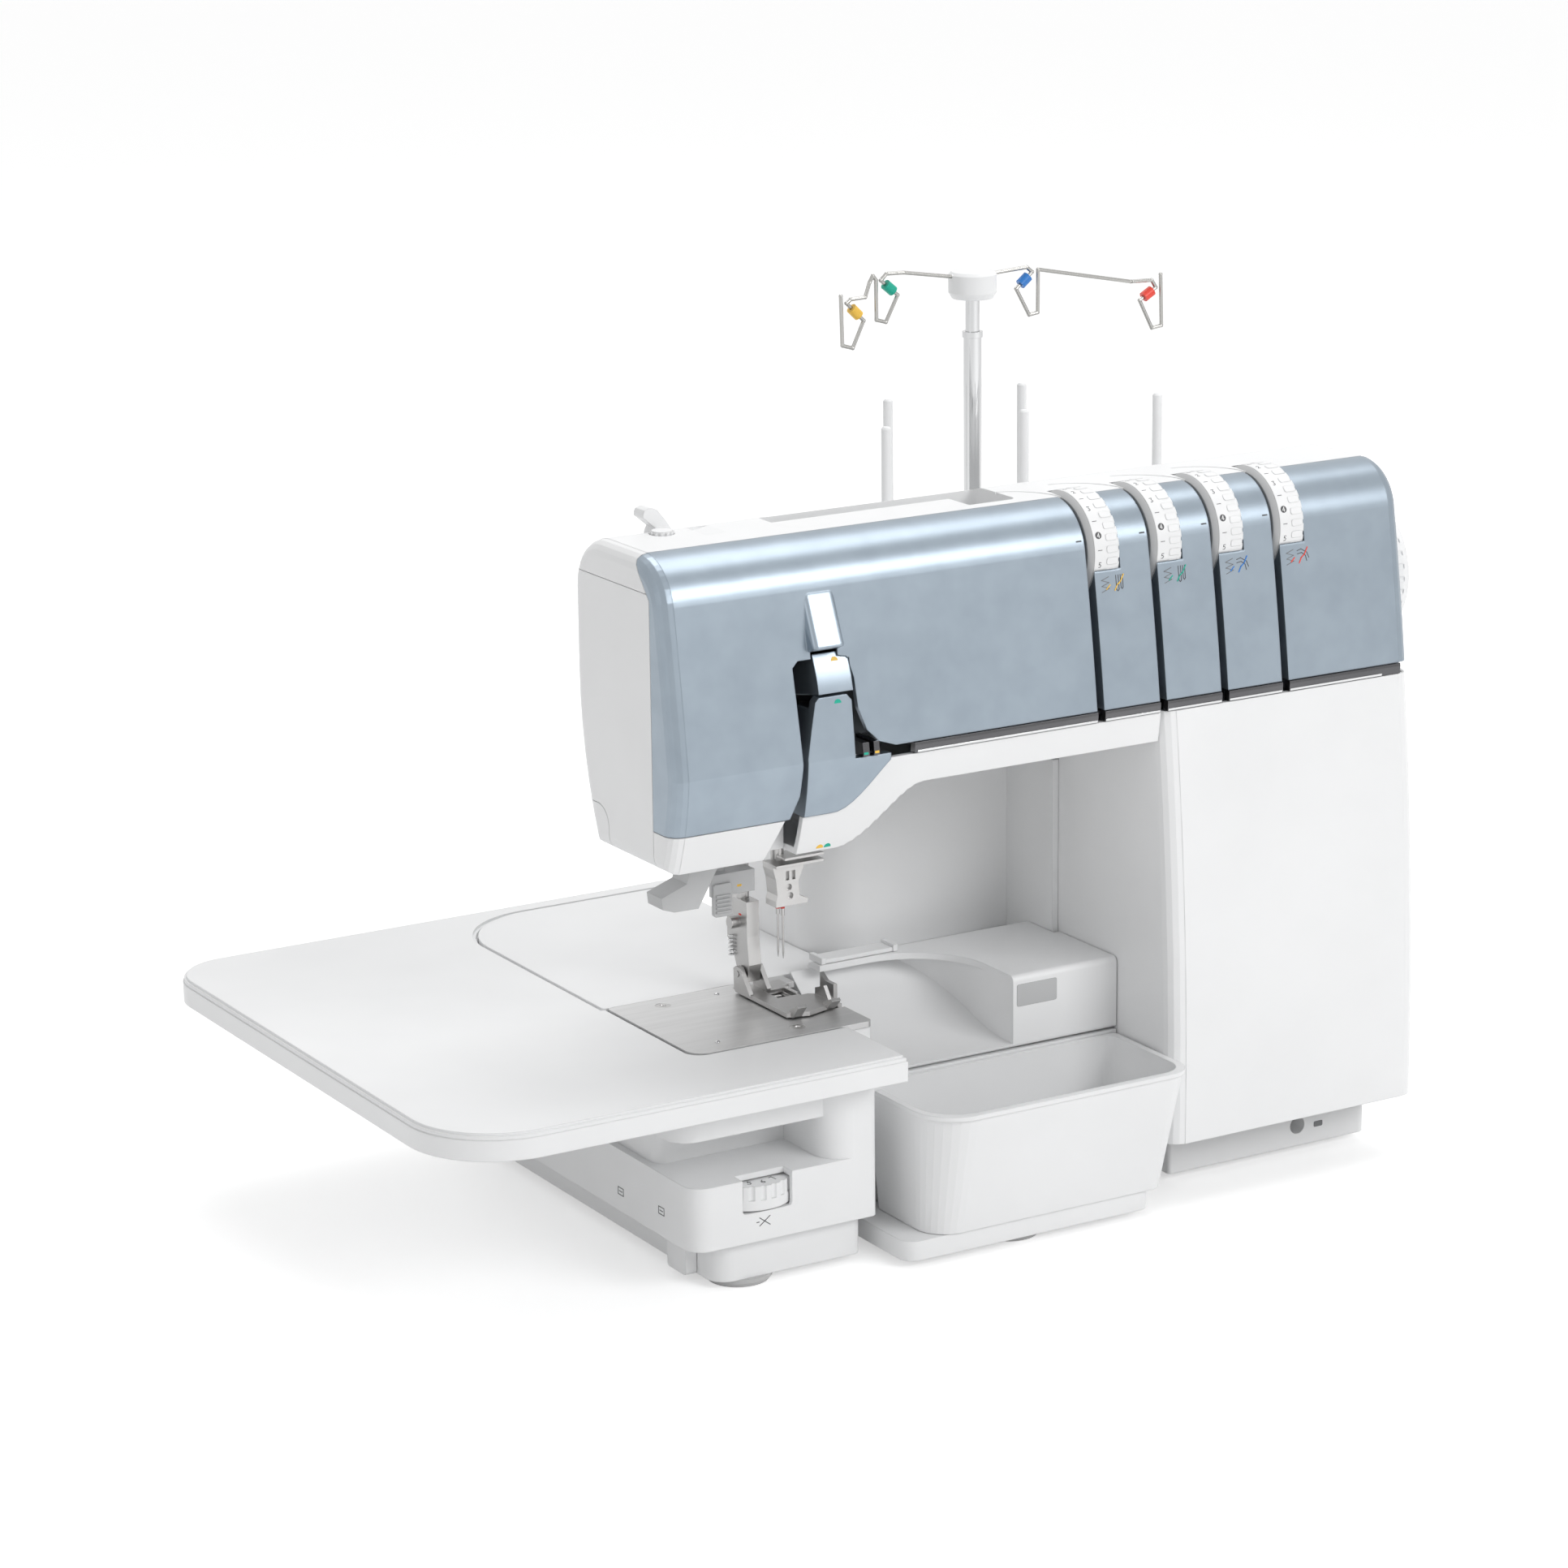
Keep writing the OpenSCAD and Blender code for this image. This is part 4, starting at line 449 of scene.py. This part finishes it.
def round_ring(mesh, middle_point, one, two, radius, sides):
    angles = [2 * math.pi * k / sides for k in range(sides)]
    return [mesh.verts.new(at(*(middle_point + (one * math.cos(a) + two * math.sin(a)) * radius)))
            for a in angles]


def add_tube(mesh, points, radius, sides):
    points = [Vector(point) for point in points]
    rings = []
    normal = None
    for i, point in enumerate(points):
        ahead = (points[min(i + 1, len(points) - 1)] - points[max(i - 1, 0)]).normalized()
        if normal is None:
            normal = ahead.orthogonal().normalized()
        normal = (normal - ahead * normal.dot(ahead)).normalized()
        other = ahead.cross(normal)
        rings.append(round_ring(mesh, point, normal, other, radius, sides))
    for low, high in zip(rings, rings[1:]):
        for k in range(sides):
            mesh.faces.new((low[k], low[(k + 1) % sides], high[(k + 1) % sides], high[k]))
    mesh.faces.new(rings[0][::-1])
    mesh.faces.new(rings[-1])


def add_turned(mesh, centre, axis, profile, sides):
    closed = profile[0] == profile[-1]
    if closed:
        profile = profile[:-1]
    axis = Vector(axis).normalized()
    one = axis.orthogonal().normalized()
    two = axis.cross(one)
    rings = []
    for radius, height in profile:
        middle_point = Vector(centre) + axis * height
        if radius == 0:
            rings.append([mesh.verts.new(at(*middle_point))])
            continue
        rings.append(round_ring(mesh, middle_point, one, two, radius, sides))
    for low, high in zip(rings, rings[1:] + rings[:1] if closed else rings[1:]):
        for k in range(sides):
            n = (k + 1) % sides
            if len(low) == 1:
                mesh.faces.new((low[0], high[n], high[k]))
            elif len(high) == 1:
                mesh.faces.new((low[k], low[n], high[0]))
            else:
                mesh.faces.new((low[k], low[n], high[n], high[k]))
    for ring in (rings[0], rings[-1]):
        if len(ring) > 1 and not closed:
            mesh.faces.new(ring)


def piece(name, material, body, build):
    mesh = bmesh.new()
    build(mesh)
    bmesh.ops.recalc_face_normals(mesh, faces=mesh.faces)
    data = bpy.data.meshes.new(name)
    mesh.to_mesh(data)
    mesh.free()
    made = bpy.data.objects.new(name, data)
    bpy.context.collection.objects.link(made)
    data.materials.append(material)
    data.shade_smooth()
    data.set_sharp_from_angle(angle=math.radians(SHARP_ANGLE))
    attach(made, body)


print("helpers ready")

# %% [markdown]
# ## Tension dials
# Each dial is a wide drum. Its left band carries plain numbers with a line between them, the
# number at the front sits in a dark disc, and the right band has raised grips. A grey ring closes
# the drum at the left. All of it turns with the dial. Numbers are drawn as strokes in a box one
# wide and 1.6 high, from its lower left corner.

# %% Numbers as strokes
DIGIT_MIDDLE = (0.5, 0.8)
DIGITS = {
    0: [[(0.5, 0), (0.15, 0.3), (0.15, 1.3), (0.5, 1.6), (0.85, 1.3), (0.85, 0.3), (0.5, 0)]],
    1: [[(0.3, 1.3), (0.6, 1.6), (0.6, 0)]],
    2: [[(0.1, 1.3), (0.35, 1.6), (0.7, 1.6), (0.9, 1.3), (0.85, 0.95), (0.1, 0), (0.9, 0)]],
    3: [[(0.1, 1.6), (0.9, 1.6), (0.5, 0.95), (0.9, 0.6), (0.85, 0.2), (0.5, 0), (0.1, 0.15)]],
    4: [[(0.7, 0), (0.7, 1.6), (0.05, 0.5), (0.95, 0.5)]],
    5: [[(0.9, 1.6), (0.2, 1.6), (0.15, 0.9), (0.6, 1.0), (0.9, 0.6), (0.7, 0.05), (0.1, 0.05)]],
    6: [[(0.8, 1.6), (0.3, 1.0), (0.1, 0.5), (0.3, 0.05), (0.7, 0.05), (0.9, 0.45), (0.6, 0.85),
         (0.15, 0.7)]],
    7: [[(0.1, 1.6), (0.9, 1.6), (0.4, 0)]],
    8: [[(0.5, 0.85), (0.15, 1.2), (0.5, 1.6), (0.85, 1.2), (0.5, 0.85), (0.1, 0.4), (0.5, 0), (0.9, 0.4),
         (0.5, 0.85)]],
    9: [[(0.85, 0.95), (0.4, 0.75), (0.1, 1.15), (0.4, 1.6), (0.85, 1.35), (0.8, 0.6), (0.4, 0)]],
}


def digit_lines(number, size):
    return [[((u - DIGIT_MIDDLE[0]) * size, (v - DIGIT_MIDDLE[1]) * size) for u, v in line]
            for line in DIGITS[number]]


print("digits:", len(DIGITS))

# %% Outlines
CORNER_STEPS = 3


def disc_outline(radius, sides=20):
    angles = [2 * math.pi * k / sides for k in range(sides)]
    return [(radius * math.cos(a), radius * math.sin(a)) for a in angles]


def rounded_outline(width, height, radius):
    points = []
    for cx, cy, start in ((1, 1, 0), (-1, 1, 90), (-1, -1, 180), (1, -1, 270)):
        for k in range(CORNER_STEPS + 1):
            a = math.radians(start + 90 * k / CORNER_STEPS)
            points.append((cx * (width / 2 - radius) + radius * math.cos(a),
                           cy * (height / 2 - radius) + radius * math.sin(a)))
    return points


print("corner points:", len(rounded_outline(2, 1, 0.3)))

# %% Dial prints, grips and rings
DIAL_RADIUS = 27.6
DIAL_MID = (30.32, 329.0)
NUMBER_STEP, FRONT_NUMBER, FRONT_ANGLE = 30, 4, 21
NUMBER_BAND = 3.1
NUMBER_SIZE, NUMBER_LINE = 1.5, 0.26
FRONT_SIZE, FRONT_LINE, FRONT_DISC_RADIUS = 1.35, 0.28, 1.75
TICK = [[(-1.1, 0), (1.1, 0)]]
GRIPS, GRIP_BAND, GRIP_HEIGHT = 30, 10.2, 0.35
GRIP_SIZE, GRIP_CORNER = (6.6, 3.5), 1.0
RING_PROFILE = [(23.2, -2.2), (25.0, -2.4), (27.2, -0.6), (27.5, -0.05), (25.2, -0.05), (23.2, -2.2)]


def dial_band(left, angle):
    def place(u, v):
        a = math.radians(angle) + v / DIAL_RADIUS
        out = Vector((0, -math.cos(a), math.sin(a)))
        spot = at(left + u, DIAL_MID[0], DIAL_MID[1]) + out * DIAL_RADIUS * MM
        return spot, out
    return place


for dial in range(1, 5):
    body = f"tension_dial_{dial}"
    dial_left = (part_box(body)[0][0] - SHIFT.x) / MM

    def dial_print(mesh):
        for number in DIGITS:
            angle = FRONT_ANGLE + NUMBER_STEP * (FRONT_NUMBER - number)
            place = dial_band(dial_left + NUMBER_BAND, angle)
            if number == FRONT_NUMBER:
                add_plate(mesh, disc_outline(FRONT_DISC_RADIUS), place)
            else:
                add_strokes(mesh, digit_lines(number, NUMBER_SIZE), place, NUMBER_LINE)
            between = dial_band(dial_left + NUMBER_BAND, angle + NUMBER_STEP / 2)
            add_strokes(mesh, TICK, between, NUMBER_LINE)

    def dial_light_number(mesh):
        add_strokes(mesh, digit_lines(FRONT_NUMBER, FRONT_SIZE),
                    dial_band(dial_left + NUMBER_BAND, FRONT_ANGLE), FRONT_LINE, height=OVERPRINT_HEIGHT)

    def dial_grips(mesh):
        for k in range(GRIPS):
            place = dial_band(dial_left + GRIP_BAND, (k + 0.5) * 360 / GRIPS)
            add_plate(mesh, rounded_outline(*GRIP_SIZE, GRIP_CORNER), place, height=GRIP_HEIGHT)

    def dial_ring(mesh):
        add_turned(mesh, (dial_left, *DIAL_MID), (1, 0, 0), RING_PROFILE, 96)

    piece(f"dial_numbers_{dial}", INK_DARK, body, dial_print)
    piece(f"dial_front_number_{dial}", INK_WHITE, body, dial_light_number)
    piece(f"dial_grips_{dial}", WHITE, body, dial_grips)
    piece(f"dial_ring_{dial}", GREY, body, dial_ring)
print("dials numbered")

# %% [markdown]
# ## Front cover prints and rims
# Left of each thread slot the cover carries a short index mark. Below each dial sit two small line
# drawings, the stitch and the needle or looper that the dial's thread runs to, each with a stroke
# in the thread's own colour. The dark strip under the covers has a bright rim along its lower edge.

# %% Index marks
SLOT_PITCH = 36.6
INDEX_MARK_X, INDEX_MARK_Z = 165.6, 337
INDEX_MARK = rounded_outline(3.2, 0.7, 0.3)

for k in range(4):
    cover = "front_cover" if k == 0 else f"tension_cover_{k}"

    def index_mark(mesh):
        add_plate(mesh, INDEX_MARK, on_front(cover, INDEX_MARK_X + SLOT_PITCH * k, INDEX_MARK_Z))

    piece(f"index_mark_{k + 1}", INK_DARK, "machine", index_mark)
print("index marks done")

# %% Stitch drawings
THREADS = (YELLOW, TEAL, SKY, RED)
STITCH_X, STATION_X, DRAWING_Z = 178.6, 186.4, 315.2
STITCH_LINE, STATION_LINE, THREAD_WIDTH, STITCH_THREAD_WIDTH = 0.34, 0.36, 0.55, 0.5
ZIGZAG = [[(-2.2, -3.6), (2.0, -2.2), (-2.2, -0.8), (2.0, 0.6), (-2.2, 2.0), (2.0, 3.4)]]
NEEDLE_DRAWING = [[(-1.6, 3.6), (-1.6, -3.2), (-0.9, -3.9), (-0.2, -3.2), (-0.2, 3.6)],
                  [(1.0, 3.6), (1.0, -2.4), (1.6, -3.1), (2.2, -2.4), (2.2, 3.6)]]
LOOPER_DRAWING = [[(-3.4, 2.6), (-1.0, 3.2), (2.4, 1.2), (3.4, -1.4)],
                  [(-3.4, 1.0), (-0.8, 1.4), (1.4, -0.2), (2.0, -2.8)]]
THREAD_LINE = [[(-2.6, -3.4), (-1.2, -1.0), (0.8, 0.4), (2.8, 3.6)]]
STITCH_THREAD = [[(0.4, -2.4), (2.5, -0.6)]]

for k, thread in enumerate(THREADS):
    cover = f"tension_cover_{k + 1}"
    stitch = on_front(cover, STITCH_X + SLOT_PITCH * k, DRAWING_Z)
    station = on_front(cover, STATION_X + SLOT_PITCH * k, DRAWING_Z)

    def stitch_rows(mesh):
        add_strokes(mesh, ZIGZAG, stitch, STITCH_LINE)

    def station_drawing(mesh):
        add_strokes(mesh, NEEDLE_DRAWING if k < 2 else LOOPER_DRAWING, station, STATION_LINE)

    def thread_drawing(mesh):
        add_strokes(mesh, THREAD_LINE, station, THREAD_WIDTH, height=OVERPRINT_HEIGHT)
        add_strokes(mesh, STITCH_THREAD, stitch, STITCH_THREAD_WIDTH, height=OVERPRINT_HEIGHT)

    piece(f"stitch_rows_{k + 1}", INK_GREY, "machine", stitch_rows)
    piece(f"station_drawing_{k + 1}", INK_DARK, "machine", station_drawing)
    piece(f"thread_colour_{k + 1}", thread, "machine", thread_drawing)
print("stitch drawings done")

# %% Rims on the dark strip
TRIM_SPANS = ((66, 168.2), (173.0, 204.9), (209.6, 241.4), (246.3, 278.0), (282.9, 339.4))
RIM_Z, RIM_HALF, RIM_HEIGHT, RIM_STEP = 250.9, 0.55, 0.3, 16

for k, (left, right) in enumerate(TRIM_SPANS):

    def trim_rim(mesh):
        for step in range(math.ceil((right - left) / RIM_STEP)):
            start = left + RIM_STEP * step
            end = min(start + RIM_STEP, right)
            half = (end - start) / 2
            add_plate(mesh, [(-half, -RIM_HALF), (half, -RIM_HALF), (half, RIM_HALF), (-half, RIM_HALF)],
                      on_front("trim_strip", (start + end) / 2, RIM_Z), height=RIM_HEIGHT)

    piece(f"trim_rim_{k + 1}", CHROME, "machine", trim_rim)
print("rims:", len(TRIM_SPANS))

# %% [markdown]
# ## Thread path marks
# Coloured half discs show the way of each thread: on the take-up lever, on its guard, and on the
# lip below. The two thread guides have a small coloured bar each, and the threader's lever has
# a mark too.

# %% Half discs and bars
HALF_DISC_RADIUS = 1.9
HALF_DISC = [(HALF_DISC_RADIUS * math.cos(math.radians(a)), HALF_DISC_RADIUS * math.sin(math.radians(a)))
             for a in range(0, 181, 15)]
GUIDE_BAR, BAR_X, BAR_Z, BAR_HEIGHT = rounded_outline(2.4, 1.1, 0.3), (36.5, 42.5), 254.4, 0.15
THREADER_MARK, THREADER_MARK_AT = rounded_outline(2.6, 1.1, 0.4), (15.4, 173.4)
LIP_Z = 208.4
PATH_MARKS = [("lever_mark", "take_up_lever", "take_up_lever", (25.0, 298.6), YELLOW),
              ("guard_mark", "take_up_guard", "machine", (24.0, 279.4), TEAL),
              ("lip_mark_yellow", "arm_floor", "machine", (18.4, LIP_Z), YELLOW),
              ("lip_mark_green", "arm_floor", "machine", (22.6, LIP_Z), TEAL)]
for name, node, body, place, colour in PATH_MARKS:

    def half_disc(mesh):
        add_plate(mesh, HALF_DISC, on_front(node, *place))

    piece(name, colour, body, half_disc)
for name, x, colour in zip(("guide_bar_green", "guide_bar_yellow"), BAR_X, (TEAL, YELLOW)):

    def guide_bar(mesh):
        add_plate(mesh, GUIDE_BAR, on_front("thread_guides", x, BAR_Z), height=BAR_HEIGHT)

    piece(name, colour, "machine", guide_bar)


def threader_mark(mesh):
    add_plate(mesh, THREADER_MARK, on_front("needle_threader", *THREADER_MARK_AT))


piece("threader_mark", YELLOW, "machine", threader_mark)
print("thread path marks done")

# %% [markdown]
# ## Work area
# The needle plate is held by two sunk screws and set by two dome-headed pins. Each needle has a
# red ring under its clamp, and a coil spring sits behind the foot's shank.

# %% Plate screws and pins
PLATE_TOP = 110
SCREW_RADIUS, SCREW_SUNK = 3.9, -0.05
SCREW_PROFILE = [(0, -1.2), (0.7, -1.2), (1, -0.5), (1, -0.15), (0.9, 0), (0.42, 0), (0.36, -0.6), (0, -0.6)]
PIN_PROFILE = [(0, -2), (1.2, -2), (1.2, 0.2), (0.8, 0.6), (0, 0.75)]
UP = (0, 0, 1)

for name, x, y in (("plate_screw_left", -12.6, 101.5), ("plate_screw_front", 25.7, 37.6)):

    def screw_head(mesh):
        profile = [(SCREW_RADIUS * radius, height + SCREW_SUNK) for radius, height in SCREW_PROFILE]
        add_turned(mesh, (x, y, PLATE_TOP), UP, profile, 32)

    piece(name, STEEL, "machine", screw_head)
for name, x, y in (("plate_pin_back", 18.5, 103), ("plate_pin_front", -18.6, 38)):

    def pin(mesh):
        add_turned(mesh, (x, y, PLATE_TOP), UP, PIN_PROFILE, 20)

    piece(name, CHROME, "machine", pin)
print("plate fixings done")

# %% Needle and foot details
CLAMP_BOTTOM = 157.6
NEEDLE_RING_PROFILE = [(0.9, 0), (1.15, 0.1), (1.15, 1.2), (0.9, 1.3)]
SPRING_BOTTOM, SPRING_HEIGHT, SPRING_TURNS, STEPS_PER_TURN = (29.5, 104.7, 127.5), 11.5, 6, 12
SPRING_RADIUS, SPRING_WIRE = 2.4, 0.42
SHANK_MARK, SHANK_MARK_AT = rounded_outline(2.4, 0.9, 0.3), (29.5, 98, 150.4)

for name, x, y in (("needle_ring_left", 40.3, 80), ("needle_ring_right", 42.2, 78.6)):

    def needle_ring(mesh):
        add_turned(mesh, (x, y, CLAMP_BOTTOM), (0, 0, -1), NEEDLE_RING_PROFILE, 20)

    piece(name, RED, "needle_bar", needle_ring)


def shank_spring(mesh):
    x, y, z = SPRING_BOTTOM
    points = []
    for step in range(SPRING_TURNS * STEPS_PER_TURN + 1):
        turn = 2 * math.pi * step / STEPS_PER_TURN
        points.append((x + SPRING_RADIUS * math.cos(turn), y + SPRING_RADIUS * math.sin(turn),
                       z + SPRING_HEIGHT * step / (SPRING_TURNS * STEPS_PER_TURN)))
    add_tube(mesh, points, SPRING_WIRE, 6)


def shank_mark(mesh):
    add_plate(mesh, SHANK_MARK, on_part("presser_bar", SHANK_MARK_AT, (0, 1, 0), UP, (1, 0, 0)))


piece("shank_spring", CHROME, "presser_bar", shank_spring)
piece("shank_mark", RED, "presser_bar", shank_mark)
print("needle and foot details done")

# %% [markdown]
# ## Base marks
# The width dial has plain numbers on its top. The base has small line drawings beside the dial
# and at its left side, and the pan has one at its right end. The looper cover carries a bare
# grey patch.

# %% Numbers on the width dial
WIDTH_DIAL_MID, WIDTH_DIAL_TOP = (-18.5, 13.5), 52
WIDTH_NUMBERS, FIRST_ANGLE, ANGLE_STEP, NUMBER_CIRCLE = range(3, 8), 198, 24, 16
WIDTH_NUMBER_SIZE, ICON_LINE = 2.2, 0.4


def width_numbers(mesh):
    for step, number in enumerate(WIDTH_NUMBERS):
        a = math.radians(FIRST_ANGLE + ANGLE_STEP * step)
        across = Vector((-math.sin(a), math.cos(a), 0))
        out = Vector((math.cos(a), math.sin(a), 0))
        spot = Vector((*WIDTH_DIAL_MID, WIDTH_DIAL_TOP)) + out * NUMBER_CIRCLE
        place = on_part("width_dial", spot, across, -out, (0, 0, -1))
        add_strokes(mesh, digit_lines(number, WIDTH_NUMBER_SIZE), place, ICON_LINE)


piece("width_numbers", INK_DARK, "width_dial", width_numbers)
print("width dial numbers:", list(WIDTH_NUMBERS))

# %% Drawings on the base, patch on the looper cover
BASE_LEFT = -63
SCISSORS = [[(-3, -2), (2.6, 2.2)], [(-3, 2), (2.6, -2.2)], [(-4.6, 0), (-3.4, 0)]]
CLOTH = [[(-2.6, -1.8), (-2.6, 1.8), (2.6, 1.8), (2.6, -1.8), (-2.6, -1.8)], [(-1.4, 0), (1.4, 0)]]
FRONT_ICON_AT, SIDE_ICONS_AT = (-19.9, 34), ((63.2, 34.7), (23.4, 37.2))
PAN_MARK, PAN_MARK_AT = rounded_outline(5.5, 3.0, 0.7), (318.6, 13.6)
COVER_PATCH, COVER_PATCH_AT, PATCH_HEIGHT = rounded_outline(23.6, 11.4, 1.0), (158, 106.8), 0.15


def front_icon(mesh):
    add_strokes(mesh, SCISSORS, on_front("base_casing", *FRONT_ICON_AT), ICON_LINE)


def side_icons(mesh):
    for y, z in SIDE_ICONS_AT:
        place = on_part("base_casing", (BASE_LEFT, y, z), (0, -1, 0), UP, (1, 0, 0))
        add_strokes(mesh, CLOTH, place, ICON_LINE)


def pan_mark(mesh):
    add_plate(mesh, PAN_MARK, on_front("base_pan", *PAN_MARK_AT))


def cover_patch(mesh):
    add_plate(mesh, COVER_PATCH, on_front("looper_cover", *COVER_PATCH_AT), height=PATCH_HEIGHT)


piece("front_icon", INK_DARK, "machine", front_icon)
piece("side_icons", INK_DARK, "machine", side_icons)
piece("pan_mark", INK_GREY, "machine", pan_mark)
piece("cover_patch", GREY, "looper_cover", cover_patch)
print("base marks done")
